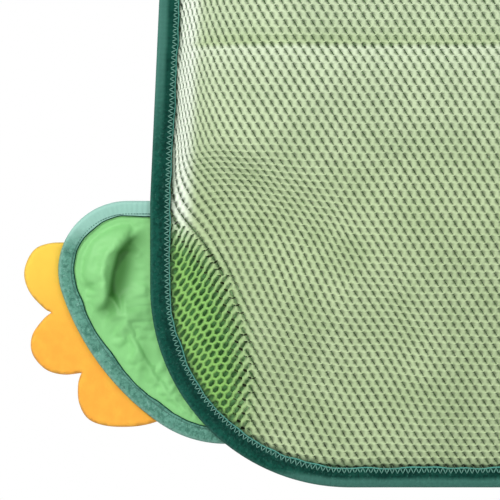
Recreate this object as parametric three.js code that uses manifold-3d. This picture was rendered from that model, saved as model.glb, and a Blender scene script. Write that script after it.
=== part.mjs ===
// A bath toy organizer that hangs on a bathroom wall: a bulging net pocket on a green cloth back, bound with
// dark green tape, with a padded animal head above the mouth of the pocket and a padded foot on each side.
// Two eyelet tabs hang it from the pegs of two suction cups.
// Millimetres, +Z up. The wall is the plane y = 0, and the user stands on its -Y side. Left is the user's.
// The origin is on the wall, midway between the two pegs. Heights count from the hem of the bag.
import * as THREE from 'three';
import { mergeVertices } from 'three/addons/utils/BufferGeometryUtils.js';
import Module from 'manifold-3d';

const wasm = await Module();
wasm.setup();
const degrees = THREE.MathUtils.degToRad;
const mix = THREE.MathUtils.lerp;
const quarterTurn = Math.PI / 2;

// Cloths
const air = 0.3; // clearance between two pieces that touch on the real bag
const clothThickness = 0.8;
const netThickness = 1;
const tapeThickness = 0.8;
const feltThickness = 2;
const thinFeltThickness = 1.2;
const webbingThickness = 1.5;

// Bag
const bagSetback = 20.8; // from the wall to the back of the cloth back
const bodyHalfWidth = 176;
const cornerRadius = 90;
const leanHeight = 130; // the sides lean inwards above this
const leanAngle = degrees(2.6);
const mouthHeight = 268;
const shoulderRadius = 37;
const bindingWidth = 9.2; // of the tape round the body, over the cloth

// Net pocket
const pocketDepth = 42;
const hemDepthShare = 0.42; // how deep the pocket already is along its hem
const deepHeight = 170; // the pocket has its full depth above this
const flatEdge = 0.8; // the net lies flat for this far past its binding
const steepRun = 12; // the smaller the run, the steeper the side of the pocket rises
const mouthRun = 25;
const hemRun = 30;
const puckerRun = 75; // the net is puckered close to the back in the two low corners
const puckerHeight = 62;
const puckerInset = 40;
const puckerRadius = 45;
const puckerFade = 50;
const mouthTapeWidth = 9.5;

// Feet
const footTop = 129.2;
const footTuck = 8.5; // how far a foot reaches behind the edge of the body
const footTopReach = 10.3; // from the edge of the body to where the foot starts to round
const footNoseRadius = 31.4;
const footNoseTurn = degrees(18.6); // how far the nose turns past upright
const footSweepRadius = 118;
const footSweepTurn = degrees(54.7); // where the long sweep ends
const footHeelRadius = 52.9;
const footHeelTurn = degrees(105); // where the heel ends, behind the body
const footTapeWidth = 7.4;
const footDomeFront = 3;
const footDomeBack = 1.2;
const footDomeRun = 6;
const heelFlatHeight = 48; // the foot narrows to a flat heel below this, over its lowest point
const heelDomeHeight = 65; // and has its full dome above this
const heelInsetShare = 0.08; // of the full inset, at the very tip of the heel
const heelFoamHeight = 60; // the foam of a foot ends here, over its lowest point
const toeTuck = 6; // how far the toes reach behind the edge of the foot
// The three toes' outlines: shares of the foot's reach past the body, and of its height over its heel.
const toeShares = [
  [[0.78, 0.827], [1.08, 0.827], [1.275, 0.795], [1.373, 0.709], [1.319, 0.627], [1.156, 0.557],
    [1.073, 0.541]],
  [[1.073, 0.541], [1.167, 0.512], [1.286, 0.446], [1.286, 0.372], [1.145, 0.307], [0.951, 0.284],
    [0.752, 0.291]],
  [[0.752, 0.291], [0.788, 0.245], [0.778, 0.168], [0.68, 0.102], [0.486, 0.073], [0.215, 0.069],
    [0, 0.082], [-0.163, 0.106]],
];

// Head
const chinGap = 10; // from the mouth of the pocket to the chin
const headHeight = 152;
const headHalfWidth = 132;
const cheekRadius = 56;
const browRadius = 44;
const saddleDrop = 22; // of the low place between the two brows
const headTapeWidth = 8;
const headDome = 5;
const headDomeRun = 10;
const eyeRadius = 21;
const pupilRadius = 10;
const pupilThickness = 1;
const pupilShift = 5; // inwards, and half of it down
const nostrilHalfWidth = 4.5;
const nostrilHalfHeight = 3.2;
const nostrilSpacing = 36;
const nostrilRise = 68; // over the chin
const smileRise = 26;
const smileRadius = 92;
const smileHalfAngle = degrees(38);
const smileWidth = 3.2;
const threadThickness = 1;
const crestRadius = 20;
const crestRise = 10; // of the middle spine over the brows
const crestSideRadius = 14;
const crestSideDrop = 16;
const crestSpacing = 27;

// Hanging tabs and eyelets
const tabShow = 24; // from the top of the head to the peg axes
const tabHalfWidth = 12;
const tabTail = 14; // how far a tab reaches down behind the head
const eyeletBore = 6.35; // radius
const eyeletPlay = 0.95; // between the top of a peg and the bore of the eyelet that hangs on it
const eyeletWall = 0.9;
const eyeletFlangeRadius = 10;
const eyeletFlange = 0.8;

// Suction cups and hooks
const cupRadius = 23;
const cupRim = 3; // width of the flat ring that meets the wall
const cupHollow = 2.6;
const cupEdge = 1;
const cupShoulderRadius = 10;
const cupShoulder = 6.5;
const cupHollowShares = [[0, 1], [0.5, 0.8], [0.85, 0.3], [1, 0]]; // of the hollow's radius and depth
const cupSlopeShare = 0.55; // of the shoulder's height, half-way in from the edge
const stemRadius = 4.5;
const stemLength = 5;
const knobRadius = 6;
const knobLength = 3.6;
const knobBevel = 1;
const capWall = 1.8;
const capClearance = 0.4;
const pegRadius = 2.5;
const pegReach = 8; // from the cap to the bend
const pegBend = 4;
const pegTipRise = 9;

// How finely round shapes are cut
const circleSegments = 24;
const arcSegments = 7;
const tubeSides = 12;
const lobeSegments = 9;

// Places that follow from the sizes above
const bodyTop = mouthHeight + shoulderRadius;
const headBottom = mouthHeight + chinGap;
const headTop = headBottom + headHeight;
const browX = headHalfWidth - cheekRadius;
const browHeight = headTop - browRadius;
const pegHeight = headTop + tabShow;
const mouthTapeBottom = mouthHeight - mouthTapeWidth;
const clothInset = tapeThickness + air; // a cloth's edge lies this far inside the fold of its tape
const paddedSeam = 2 * clothThickness + 3 * air; // the room inside the tape of a foot or of the head
const bagBackY = -bagSetback;
const netBackY = bagBackY - clothThickness - air;
const bodySeamY = netBackY - netThickness - air; // the front of the room inside the body's tape
const bodySeam = bagBackY + air - bodySeamY;
const footSeamY = bodySeamY + bodySeam + 2 * tapeThickness + air;
const toesBackY = footSeamY + paddedSeam + tapeThickness + air + feltThickness;
const headSeamY = bodySeamY - 2 * tapeThickness - air - paddedSeam;
const tabBackY = bodySeamY - tapeThickness + webbingThickness;
const faceY = headSeamY + air - headDome - air; // the back of what is sewn on the face
const eyeletCentre = pegHeight + pegRadius + eyeletPlay - eyeletBore;

const finishes = {
  cloth: { color: 0x74c46c, roughness: 0.45, metalness: 0 },
  net: { color: 0xe3ecdc, roughness: 0.7, metalness: 0 },
  tape: { color: 0x1f6a55, roughness: 0.75, metalness: 0 },
  paleTape: { color: 0x5e9e8c, roughness: 0.75, metalness: 0 },
  felt: { color: 0xfbb748, roughness: 0.95, metalness: 0 },
  white: { color: 0xf5f5f0, roughness: 0.95, metalness: 0 },
  dark: { color: 0x1c2320, roughness: 0.9, metalness: 0 },
  thread: { color: 0x17463a, roughness: 0.6, metalness: 0 },
  foam: { color: 0xf2f1ea, roughness: 1, metalness: 0 },
  webbing: { color: 0x2f7a5f, roughness: 0.8, metalness: 0 },
  clear: { color: 0xdfe8ea, roughness: 0.12, metalness: 0 },
  nickel: { color: 0xcfd0cf, roughness: 0.25, metalness: 1 },
};

const organizer = new THREE.Group();
organizer.name = 'bath_toy_organizer';

// Adds a piece whose heights count from the hem. backY is where its own y = 0 goes, and x moves it sideways.
function addPart(name, geometry, finish, backY = 0, x = 0) {
  const mesh = new THREE.Mesh(geometry, new THREE.MeshStandardMaterial(finishes[finish]));
  mesh.name = name;
  mesh.position.set(x, backY, -pegHeight);
  organizer.add(mesh);
}

// Closed bodies

function volumeOf(positions, indices) {
  const corners = [0, 1, 2].map(() => new THREE.Vector3());
  let volume = 0;
  for (let i = 0; i < indices.length; i += 3) {
    corners.forEach((corner, k) => corner.fromArray(positions, indices[i + k] * 3));
    volume += corners[0].dot(corners[1].cross(corners[2]));
  }
  return volume;
}

function mergedMesh(points, triangles) {
  const coordinates = points.flatMap(point => point.toArray());
  const mesh = new THREE.BufferGeometry();
  mesh.setAttribute('position', new THREE.Float32BufferAttribute(coordinates, 3));
  mesh.setIndex(triangles);
  return mergeVertices(mesh);
}

// Merges doubled corners, leaves out triangles without area, and turns the faces outwards.
function closedBody(points, triangles) {
  const merged = mergedMesh(points, triangles);
  const all = merged.index.array;
  const kept = [];
  for (let i = 0; i < all.length; i += 3) {
    const [a, b, c] = [all[i], all[i + 1], all[i + 2]];
    if (a !== b && b !== c && c !== a) kept.push(a, b, c);
  }
  if (volumeOf(merged.attributes.position.array, kept) < 0) kept.reverse();
  merged.setIndex(kept);
  return merged;
}

// The triangles that fill an outline, all running the same way round as the outline does.
function filled(outline) {
  const turn = THREE.ShapeUtils.area(outline);
  return THREE.ShapeUtils.triangulateShape(outline, []).map(([a, b, c]) => (
    THREE.ShapeUtils.area([outline[a], outline[b], outline[c]]) * turn > 0 ? [a, b, c] : [c, b, a]
  ));
}

// A skin over successive rings of corners. endShape is an end ring, flattened, or null where rings close up.
function loft(rings, endShape) {
  const count = rings[0].length;
  const triangles = [];
  const spans = endShape ? rings.length - 1 : rings.length;
  for (let span = 0; span < spans; span++) {
    const here = span * count;
    const next = ((span + 1) % rings.length) * count;
    for (let i = 0; i < count; i++) {
      const j = (i + 1) % count;
      triangles.push(here + i, here + j, next + j, here + i, next + j, next + i);
    }
  }
  if (endShape) {
    const last = (rings.length - 1) * count;
    for (const [a, b, c] of filled(endShape)) triangles.push(c, b, a, last + a, last + b, last + c);
  }
  return closedBody(rings.flat(), triangles);
}

// A flat piece cut from a sheet: the outline lies in X and Z, and the sheet reaches from y = 0 to the user.
function flatPiece(outline, thickness, holes = []) {
  const shape = new THREE.Shape(outline);
  shape.holes = holes.map(hole => new THREE.Path(hole));
  return new THREE.ExtrudeGeometry(shape, { depth: thickness, bevelEnabled: false }).rotateX(quarterTurn);
}

function bare(geometry) {
  const copy = geometry.clone();
  copy.deleteAttribute('normal');
  copy.deleteAttribute('uv');
  return mergeVertices(copy);
}

function solidOf(geometry) {
  const merged = bare(geometry);
  return new wasm.Manifold(new wasm.Mesh({
    numProp: 3,
    vertProperties: merged.attributes.position.array,
    triVerts: new Uint32Array(merged.index.array),
  }));
}

function geometryOf(solid) {
  const mesh = solid.getMesh();
  const geometry = new THREE.BufferGeometry();
  geometry.setAttribute('position', new THREE.BufferAttribute(mesh.vertProperties, mesh.numProp));
  geometry.setIndex(new THREE.BufferAttribute(mesh.triVerts, 1));
  return geometry;
}

const joined = geometries => geometryOf(geometries.map(solidOf).reduce((sum, solid) => sum.add(solid)));

const cutBelow = (geometry, height) => geometryOf(solidOf(geometry).trimByPlane([0, 0, 1], height));

const vectorsOf = attribute => (
  Array.from({ length: attribute.count }, (_, i) => new THREE.Vector3().fromBufferAttribute(attribute, i))
);

// A piece turned about the line parallel to Y at that height. The profile is a list of [radius, y].
function turned(profile, height) {
  const points = profile.map(([radius, y]) => new THREE.Vector2(radius, y));
  const merged = bare(new THREE.LatheGeometry(points, circleSegments).translate(0, 0, height));
  return closedBody(vectorsOf(merged.attributes.position), Array.from(merged.index.array));
}

// Outlines in X and Z, all running anticlockwise as the user sees them

function arc(centreX, centreZ, radius, from, to, segments = arcSegments) {
  return Array.from({ length: segments + 1 }, (_, i) => {
    const angle = mix(from, to, i / segments);
    return new THREE.Vector2(centreX + radius * Math.cos(angle), centreZ + radius * Math.sin(angle));
  });
}

const circle = (centreX, centreZ, radius, segments = circleSegments) => (
  arc(centreX, centreZ, radius, 0, 2 * Math.PI, segments).slice(1)
);

const mirrored = points => points.map(point => new THREE.Vector2(-point.x, point.y)).reverse();

// The outward normal at each corner of an outline, longer where the corner is sharper.
function cornerNormals(points, closed) {
  const edgeNormal = (a, b) => new THREE.Vector2(b.y - a.y, a.x - b.x).normalize();
  return points.map((point, i) => {
    const before = closed || i > 0 ? edgeNormal(points.at(i - 1), point) : null;
    const after = closed || i < points.length - 1 ? edgeNormal(point, points[(i + 1) % points.length]) : null;
    const [first, second] = [before ?? after, after ?? before];
    return first.clone().add(second).divideScalar(1 + first.dot(second));
  });
}

function inset(points, distance, closed = true) {
  const normals = cornerNormals(points, closed);
  return points.map((point, i) => point.clone().addScaledVector(normals[i], -distance));
}

// Half the body's width at a height over its rounded corners.
const bodyHalfWidthAt = height => bodyHalfWidth - Math.max(0, height - leanHeight) * Math.tan(leanAngle);

function bodyOutline() {
  const shoulderX = bodyHalfWidthAt(mouthHeight) - shoulderRadius;
  const right = [
    ...arc(bodyHalfWidth - cornerRadius, cornerRadius, cornerRadius, -quarterTurn, 0, 2 * arcSegments),
    new THREE.Vector2(bodyHalfWidth, leanHeight),
    ...arc(shoulderX, mouthHeight, shoulderRadius, 0, quarterTurn),
  ];
  return [...right, ...mirrored(right)];
}

// The bound edge of the left foot, from its top down round to behind the hem.
function footEdge() {
  const along = (centre, distance, turn) => (
    new THREE.Vector2(centre.x - distance * Math.cos(turn), centre.y - distance * Math.sin(turn))
  );
  const nose = new THREE.Vector2(-bodyHalfWidth - footTopReach, footTop - footNoseRadius);
  const sweep = along(nose, footNoseRadius - footSweepRadius, footNoseTurn);
  const heel = along(sweep, footSweepRadius - footHeelRadius, footSweepTurn);
  return [
    new THREE.Vector2(-bodyHalfWidth + footTuck, footTop),
    ...arc(nose.x, nose.y, footNoseRadius, quarterTurn, Math.PI + footNoseTurn, arcSegments + 2),
    ...arc(sweep.x, sweep.y, footSweepRadius, Math.PI + footNoseTurn, Math.PI + footSweepTurn).slice(1),
    ...arc(heel.x, heel.y, footHeelRadius, Math.PI + footSweepTurn, Math.PI + footHeelTurn).slice(1),
  ];
}

// The whole left foot: its bound edge, then back up behind the body, along the body's own rounded corner.
function footOutline() {
  const edge = footEdge();
  const centreX = cornerRadius - bodyHalfWidth;
  const end = edge.at(-1);
  const from = Math.atan2(end.y - cornerRadius, end.x - centreX);
  return [...edge, ...arc(centreX, cornerRadius, cornerRadius - footTuck, from, -Math.PI).slice(1)];
}

// The head: two cheeks, two brows, and one hollow arc between the brows that meets both smoothly.
function headOutline() {
  const cheekHeight = headBottom + cheekRadius;
  const tangent = Math.asin((cheekRadius - browRadius) / (browHeight - cheekHeight));
  const saddle = headTop - saddleDrop;
  const rise = saddle - browHeight;
  const saddleRadius = (browX ** 2 + rise ** 2 - browRadius ** 2) / (2 * (browRadius - rise));
  const saddleCentre = saddle + saddleRadius;
  const meet = Math.atan2(saddleCentre - browHeight, -browX);
  const right = [
    ...arc(browX, cheekHeight, cheekRadius, -quarterTurn, tangent, arcSegments + 2),
    ...arc(browX, browHeight, browRadius, tangent, meet, arcSegments + 3),
    ...arc(0, saddleCentre, saddleRadius, meet - Math.PI, -quarterTurn, 3).slice(1),
  ];
  return [...right, ...mirrored(right.slice(0, -1))];
}

// Bindings: a tape folded over the edge of the cloths

// The folded tape in section: x runs inwards from the fold, y from the front of the room in it to the back.
function tapeSection(width, room) {
  const chamfer = tapeThickness;
  const outside = room + tapeThickness;
  const corners = [
    [width, -tapeThickness], [chamfer, -tapeThickness], [0, 0], [0, room], [chamfer, outside],
    [width, outside], [width, room], [tapeThickness, room], [tapeThickness, 0], [width, 0],
  ];
  return corners.map(([x, y]) => new THREE.Vector2(x, y));
}

function binding(path, closed, width, room) {
  const section = tapeSection(width, room);
  const normals = cornerNormals(path, closed);
  const rings = path.map((point, i) => section.map(({ x, y }) => (
    new THREE.Vector3(point.x - normals[i].x * x, y, point.y - normals[i].y * x)
  )));
  return loft(rings, closed ? null : section);
}

// Padded pieces: two domed cloths with a foam core between them

const domeSteps = [[0, 0], [0.4, 0.6], [1, 1]]; // shares of the run and of the dome

// A pad has an outline, a flat edge of that width under its tape, and a run over which its domes rise.
// Two functions of the height say what share of the full inset and of the full dome there is room for.
const everywhere = () => 1;
const makePad = (outline, flat, run, insetShare = everywhere, domeShare = everywhere) => (
  { outline, flat, run, insetShare, domeShare }
);

// One ring of a pad's corners: its outline drawn in by a distance, at y = level - rise.
function padRing({ outline, insetShare, domeShare }, distance, rise, level) {
  const full = inset(outline, distance);
  const least = inset(outline, clothInset);
  return outline.map((point, i) => {
    const { x, y: height } = least[i].clone().lerp(full[i], insetShare(point.y));
    return new THREE.Vector3(x, level - rise * domeShare(point.y), height);
  });
}

const flattened = ring => ring.map(point => new THREE.Vector2(point.x, point.z));

// A cloth that lies flat under its tape and then rises by the dome towards the user.
function domedCloth(pad, dome) {
  const steps = [[clothInset, 0], ...domeSteps.map(([out, up]) => [pad.flat + pad.run * out, dome * up])];
  const back = steps.map(([distance, rise]) => padRing(pad, distance, rise, 0));
  const front = steps.map(([distance, rise]) => padRing(pad, distance, rise, -clothThickness));
  return loft([...back.reverse(), ...front], flattened(front.at(-1)));
}

// The foam between a front cloth, whose back is y = 0 where it lies flat, and the cloth behind it.
function foamCore(pad, frontDome, backDome) {
  const [, middle, top] = domeSteps;
  const ring = ([out, up], dome, level) => padRing(pad, pad.flat + pad.run * out, dome * up, level);
  const before = [top, middle].map(step => ring(step, frontDome, air));
  const behind = [middle, top].map(step => ring(step, -backDome, 0));
  return loft([...before, ...behind], flattened(before[0]));
}

// Net pocket

const smooth = THREE.MathUtils.smoothstep;

// How far the pocket stands out at a place on the body. edge is how far in from the body's edge the place is.
function pocketDepthAt(x, placeHeight, edge) {
  const height = Math.min(placeHeight, mouthTapeBottom); // the mouth's tape holds the net upright above this
  const out = Math.max(0, edge - bindingWidth - flatEdge);
  const sideRun = mix(hemRun, steepRun, smooth(height, 0, leanHeight));
  const plainRun = mix(sideRun, mouthRun, smooth(height, deepHeight, mouthTapeBottom));
  const toPucker = Math.hypot(Math.abs(x) - (bodyHalfWidth - puckerInset), height - puckerHeight);
  const run = mix(puckerRun, plainRun, smooth(toPucker, puckerRadius, puckerRadius + puckerFade));
  const fill = mix(hemDepthShare, 1, smooth(height, 0, deepHeight));
  return pocketDepth * fill * (1 - Math.exp(-out / run));
}

// How far in from the body's edge the net has corners.
function edgeSteps() {
  const flat = bindingWidth + flatEdge;
  const riseShares = [0.04, 0.1, 0.2, 0.36, 0.62, 1];
  return [clothInset, flat, ...riseShares.map(share => mix(flat, cornerRadius, share))];
}

// The stations round the pocket, from the left end of its mouth down and round to the right end.
function pocketStations() {
  const station = (x, height, inX, inZ) => (
    { at: new THREE.Vector2(x, height), inwards: new THREE.Vector2(inX, inZ) }
  );
  const sideCount = 7;
  const hemCount = 5;
  const centreX = cornerRadius - bodyHalfWidth;
  const side = Array.from({ length: sideCount }, (_, i) => {
    const height = i ? mix(mouthTapeBottom, cornerRadius, (i - 1) / (sideCount - 2)) : mouthHeight;
    return station(-bodyHalfWidthAt(height), height, 1, 0);
  });
  const ways = arc(0, 0, 1, Math.PI, Math.PI + quarterTurn, arcSegments + 2).slice(1, -1);
  const corner = ways.map(({ x, y }) => (
    station(centreX + cornerRadius * x, cornerRadius + cornerRadius * y, -x, -y)
  ));
  const hemShares = Array.from({ length: hemCount }, (_, i) => i / (hemCount - 1));
  const hem = hemShares.map(share => station(mix(centreX, 0, share), 0, 0, 1));
  const left = [...side, ...corner, ...hem];
  const mirror = ({ at, inwards }) => station(-at.x, at.y, -inwards.x, inwards.y);
  const right = left.slice(0, -1).reverse().map(mirror);
  return { stations: [...left, ...right], sideCount, hemStart: sideCount + corner.length };
}

const pocketPoint = (x, height, edge) => (
  new THREE.Vector3(x, -netThickness - pocketDepthAt(x, height, edge), height)
);

// The outer face of the net: bands along the edge, then a plain grid across the middle.
function pocketFace() {
  const { stations, sideCount, hemStart } = pocketStations();
  const steps = edgeSteps();
  const lastStep = steps.length - 1;
  const points = stations.flatMap(({ at, inwards }) => steps.map(edge => {
    const place = at.clone().addScaledVector(inwards, edge);
    return pocketPoint(place.x, place.y, edge);
  }));
  const indexAt = (station, step) => station * steps.length + step;
  const triangles = [];
  const addQuad = (a, b, c, d) => triangles.push(a, b, c, a, c, d);
  for (let s = 0; s < stations.length - 1; s++) {
    for (let k = 0; k < lastStep; k++) {
      addQuad(indexAt(s, k), indexAt(s + 1, k), indexAt(s + 1, k + 1), indexAt(s, k + 1));
    }
  }
  const columns = stations.length - 2 * hemStart;
  const rows = Array.from({ length: sideCount }, (_, row) => {
    const [left, right] = [indexAt(row, lastStep), indexAt(stations.length - 1 - row, lastStep)];
    return Array.from({ length: columns }, (__, column) => {
      if (row === sideCount - 1) return indexAt(hemStart + column, lastStep);
      if (column === 0) return left;
      if (column === columns - 1) return right;
      const height = points[left].z;
      const x = mix(points[left].x, points[right].x, column / (columns - 1));
      return points.push(pocketPoint(x, height, bodyHalfWidthAt(height) - Math.abs(x))) - 1;
    });
  });
  for (let row = 0; row < sideCount - 1; row++) {
    for (let column = 0; column < columns - 1; column++) {
      const [here, below] = [rows[row], rows[row + 1]];
      addQuad(here[column], below[column], below[column + 1], here[column + 1]);
    }
  }
  return { points, triangles, mouth: rows[0].map(index => points[index]) };
}

// The net as a closed sheet: its outer face, the same face one thickness further in, and a wall at the edge.
function pocketNet() {
  const face = pocketFace();
  const merged = mergedMesh(face.points, face.triangles);
  merged.computeVertexNormals();
  const outer = vectorsOf(merged.attributes.position);
  const normals = vectorsOf(merged.attributes.normal);
  const inner = outer.map((point, i) => point.clone().addScaledVector(normals[i], -netThickness));
  const corners = Array.from(merged.index.array);
  const triangles = [...corners];
  const open = new Map();
  for (let i = 0; i < corners.length; i += 3) {
    triangles.push(corners[i] + outer.length, corners[i + 2] + outer.length, corners[i + 1] + outer.length);
    for (let k = 0; k < 3; k++) {
      const [a, b] = [corners[i + k], corners[i + (k + 1) % 3]];
      if (a !== b && !open.delete(`${b},${a}`)) open.set(`${a},${b}`, [a, b]);
    }
  }
  for (const [a, b] of open.values()) {
    triangles.push(b, a, a + outer.length, b, a + outer.length, b + outer.length);
  }
  return closedBody([...outer, ...inner], triangles);
}

// The tape folded over the top edge of the net. It follows the net's own line there, from side to side.
function mouthBinding() {
  const room = netThickness + 2 * air;
  const section = tapeSection(mouthTapeWidth, room);
  const halfWidth = bodyHalfWidthAt(mouthHeight);
  const netMiddle = netThickness / 2;
  const edges = edgeSteps().slice(2, -1);
  const rise = edges.map(edge => pocketPoint(edge - halfWidth, mouthHeight, edge));
  const fall = rise.toReversed().map(point => new THREE.Vector3(-point.x, point.y, point.z));
  const face = [...rise, ...pocketFace().mouth, ...fall];
  const line = face.map(point => new THREE.Vector2(point.x, point.y));
  const path = inset(line, netMiddle, false);
  const normals = cornerNormals(path, false);
  const top = mouthHeight + clothInset;
  const rings = path.map((point, i) => section.map(({ x, y }) => {
    const across = y - room / 2;
    const widening = bodyHalfWidthAt(top - x) / halfWidth; // the tape leans with the sides of the body
    const sideways = (point.x - normals[i].x * across) * widening;
    return new THREE.Vector3(sideways, point.y - normals[i].y * across, top - x);
  }));
  return loft(rings, section);
}

function addBody() {
  const outline = bodyOutline();
  addPart('back_panel', flatPiece(inset(outline, clothInset), clothThickness), 'cloth', bagBackY);
  addPart('body_binding', binding(outline, true, bindingWidth, bodySeam), 'tape', bodySeamY);
  addPart('pocket_net', pocketNet(), 'net', netBackY);
  addPart('mouth_binding', mouthBinding(), 'tape', netBackY);
}

// Feet

// Three felt toes cut in one piece. Their inner edge is sewn behind the edge of the foot.
function toesOutline() {
  const edge = footEdge();
  const reach = -bodyHalfWidth - Math.min(...edge.map(point => point.x));
  const heelZ = Math.min(...edge.map(point => point.y));
  const place = ([out, up]) => new THREE.Vector2(-bodyHalfWidth - out * reach, mix(heelZ, footTop, up));
  const lobes = toeShares.flatMap((shares, i) => (
    new THREE.SplineCurve(shares.map(place)).getPoints(lobeSegments).slice(i && 1)
  ));
  const [first, last] = [lobes[0], lobes.at(-1)];
  const sewn = inset(edge, toeTuck, false).filter(point => (
    point.y < first.y - toeTuck && point.y > last.y + toeTuck && point.x < last.x
  ));
  return [...lobes, ...sewn.reverse()];
}

function addFoot(side, turn) {
  const outline = turn(footOutline());
  const heelZ = Math.min(...outline.map(point => point.y));
  const insetShare = height => mix(heelInsetShare, 1, smooth(height, heelZ, heelZ + heelFlatHeight));
  const domeShare = height => smooth(height, heelZ + heelFlatHeight, heelZ + heelDomeHeight);
  const pad = makePad(outline, footTapeWidth + air, footDomeRun, insetShare, domeShare);
  const frontY = footSeamY + air + clothThickness;
  const backY = frontY + air + clothThickness;
  addPart(`${side}_foot_front`, domedCloth(pad, footDomeFront), 'cloth', frontY);
  addPart(`${side}_foot_back`, domedCloth(pad, -footDomeBack), 'cloth', backY);
  const foam = cutBelow(foamCore(pad, footDomeFront, footDomeBack), heelZ + heelFoamHeight);
  addPart(`${side}_foot_foam`, foam, 'foam', frontY);
  const tape = binding(turn(footEdge()), false, footTapeWidth, paddedSeam);
  addPart(`${side}_foot_binding`, tape, 'paleTape', footSeamY);
  addPart(`${side}_toes`, flatPiece(turn(toesOutline()), feltThickness), 'felt', toesBackY);
}

// Head

function smileOutline() {
  const centre = headBottom + smileRise + smileRadius;
  const [from, to] = [-quarterTurn - smileHalfAngle, -quarterTurn + smileHalfAngle];
  const outer = arc(0, centre, smileRadius + smileWidth / 2, from, to, 2 * arcSegments);
  const inner = arc(0, centre, smileRadius - smileWidth / 2, from, to, 2 * arcSegments);
  return [...outer, ...inner.reverse()];
}

function addFace() {
  for (const [side, sign] of [['left', -1], ['right', 1]]) {
    const white = circle(sign * browX, browHeight, eyeRadius);
    addPart(`${side}_eye_white`, flatPiece(white, thinFeltThickness), 'white', faceY);
    const pupil = circle(sign * (browX - pupilShift), browHeight - pupilShift / 2, pupilRadius);
    addPart(`${side}_pupil`, flatPiece(pupil, pupilThickness), 'dark', faceY - thinFeltThickness - air);
    const nostrilX = sign * nostrilSpacing / 2;
    const nostril = circle(0, 0, 1, circleSegments / 2).map(({ x, y }) => (
      new THREE.Vector2(nostrilX + nostrilHalfWidth * x, headBottom + nostrilRise + nostrilHalfHeight * y)
    ));
    addPart(`${side}_nostril`, flatPiece(nostril, threadThickness), 'thread', faceY);
  }
  addPart('smile', flatPiece(smileOutline(), threadThickness), 'thread', faceY);
}

// Three rounded felt spines cut in one piece, sewn behind the top of the head.
function crest() {
  const middle = circle(0, headTop + crestRise - crestRadius, crestRadius);
  const sideHeight = headTop + crestRise - crestSideDrop - crestSideRadius;
  const sides = [-crestSpacing, crestSpacing].map(x => circle(x, sideHeight, crestSideRadius));
  return joined([middle, ...sides].map(outline => flatPiece(outline, feltThickness)));
}

function addHead() {
  const outline = headOutline();
  const pad = makePad(outline, headTapeWidth + air, headDomeRun);
  const frontY = headSeamY + air + clothThickness;
  const backY = frontY + air + clothThickness;
  addPart('head_front', domedCloth(pad, headDome), 'cloth', frontY);
  addPart('head_back', flatPiece(inset(outline, clothInset), clothThickness), 'cloth', backY);
  addPart('head_foam', foamCore(pad, headDome, 0), 'foam', frontY);
  addPart('head_binding', binding(outline, true, headTapeWidth, paddedSeam), 'tape', headSeamY);
  addPart('crest', crest(), 'felt', bodySeamY - tapeThickness + feltThickness);
  addFace();
}

// Hanging tabs, eyelets, suction cups and hooks

function tab() {
  const bottom = headTop - tabTail;
  const top = arc(0, eyeletCentre, tabHalfWidth, 0, Math.PI, 2 * arcSegments);
  const outline = [new THREE.Vector2(-tabHalfWidth, bottom), new THREE.Vector2(tabHalfWidth, bottom), ...top];
  return flatPiece(outline, webbingThickness, [circle(0, eyeletCentre, eyeletBore + eyeletWall + air)]);
}

// A metal ring of two flanges and a barrel. Its y = 0 is the middle of the tab.
function eyelet() {
  const inside = webbingThickness / 2 + air;
  const outside = inside + eyeletFlange;
  const barrel = eyeletBore + eyeletWall;
  return turned([
    [eyeletBore, -outside], [eyeletFlangeRadius, -outside], [eyeletFlangeRadius, -inside], [barrel, -inside],
    [barrel, inside], [eyeletFlangeRadius, inside], [eyeletFlangeRadius, outside], [eyeletBore, outside],
    [eyeletBore, -outside],
  ], eyeletCentre);
}

const knobBackY = -cupShoulder - stemLength;
const knobFrontY = knobBackY - knobLength;
const capCavityY = knobFrontY - capClearance;
const capFrontY = capCavityY - capWall;

// A soft disc with a hollow face on the wall side, a stem and a knob.
function suctionCup() {
  const hollowRadius = cupRadius - cupRim;
  const hollow = cupHollowShares.map(([across, deep]) => [hollowRadius * across, -cupHollow * deep]);
  return turned([
    ...hollow, [cupRadius, 0], [cupRadius, -cupEdge],
    [(cupRadius + cupShoulderRadius) / 2, -cupShoulder * cupSlopeShare], [cupShoulderRadius, -cupShoulder],
    [stemRadius, -cupShoulder], [stemRadius, knobBackY], [knobRadius - knobBevel / 2, knobBackY],
    [knobRadius, knobBackY - knobBevel], [knobRadius, knobFrontY + knobBevel],
    [knobRadius - knobBevel, knobFrontY], [0, knobFrontY],
  ], pegHeight);
}

// A cap that snaps over the knob and turns on it, with a round peg on the same axis whose end turns up.
function hook() {
  const capLipY = knobBackY + capClearance;
  const capBackY = capLipY + capWall;
  const stemHole = stemRadius + capClearance;
  const cavity = knobRadius + capClearance;
  const capRadius = cavity + capWall;
  const cap = turned([
    [0, capCavityY], [cavity, capCavityY], [cavity, capLipY], [stemHole, capLipY], [stemHole, capBackY],
    [capRadius, capBackY], [capRadius, capFrontY], [0, capFrontY],
  ], pegHeight);
  const [bendY, tipY] = [capFrontY - pegReach, capFrontY - pegReach - pegBend];
  const place = (y, rise) => new THREE.Vector3(0, y, pegHeight + rise);
  const path = new THREE.CurvePath();
  path.add(new THREE.LineCurve3(place(capFrontY + capWall / 2, 0), place(bendY, 0)));
  path.add(new THREE.QuadraticBezierCurve3(place(bendY, 0), place(tipY, 0), place(tipY, pegBend)));
  path.add(new THREE.LineCurve3(place(tipY, pegBend), place(tipY, pegTipRise)));
  const section = new THREE.Shape(circle(0, 0, pegRadius, tubeSides));
  const run = { steps: 2 * arcSegments, bevelEnabled: false, extrudePath: path };
  const end = new THREE.SphereGeometry(pegRadius, tubeSides, tubeSides / 2);
  end.translate(0, tipY, pegHeight + pegTipRise);
  return joined([cap, new THREE.ExtrudeGeometry(section, run), end]);
}

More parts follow.
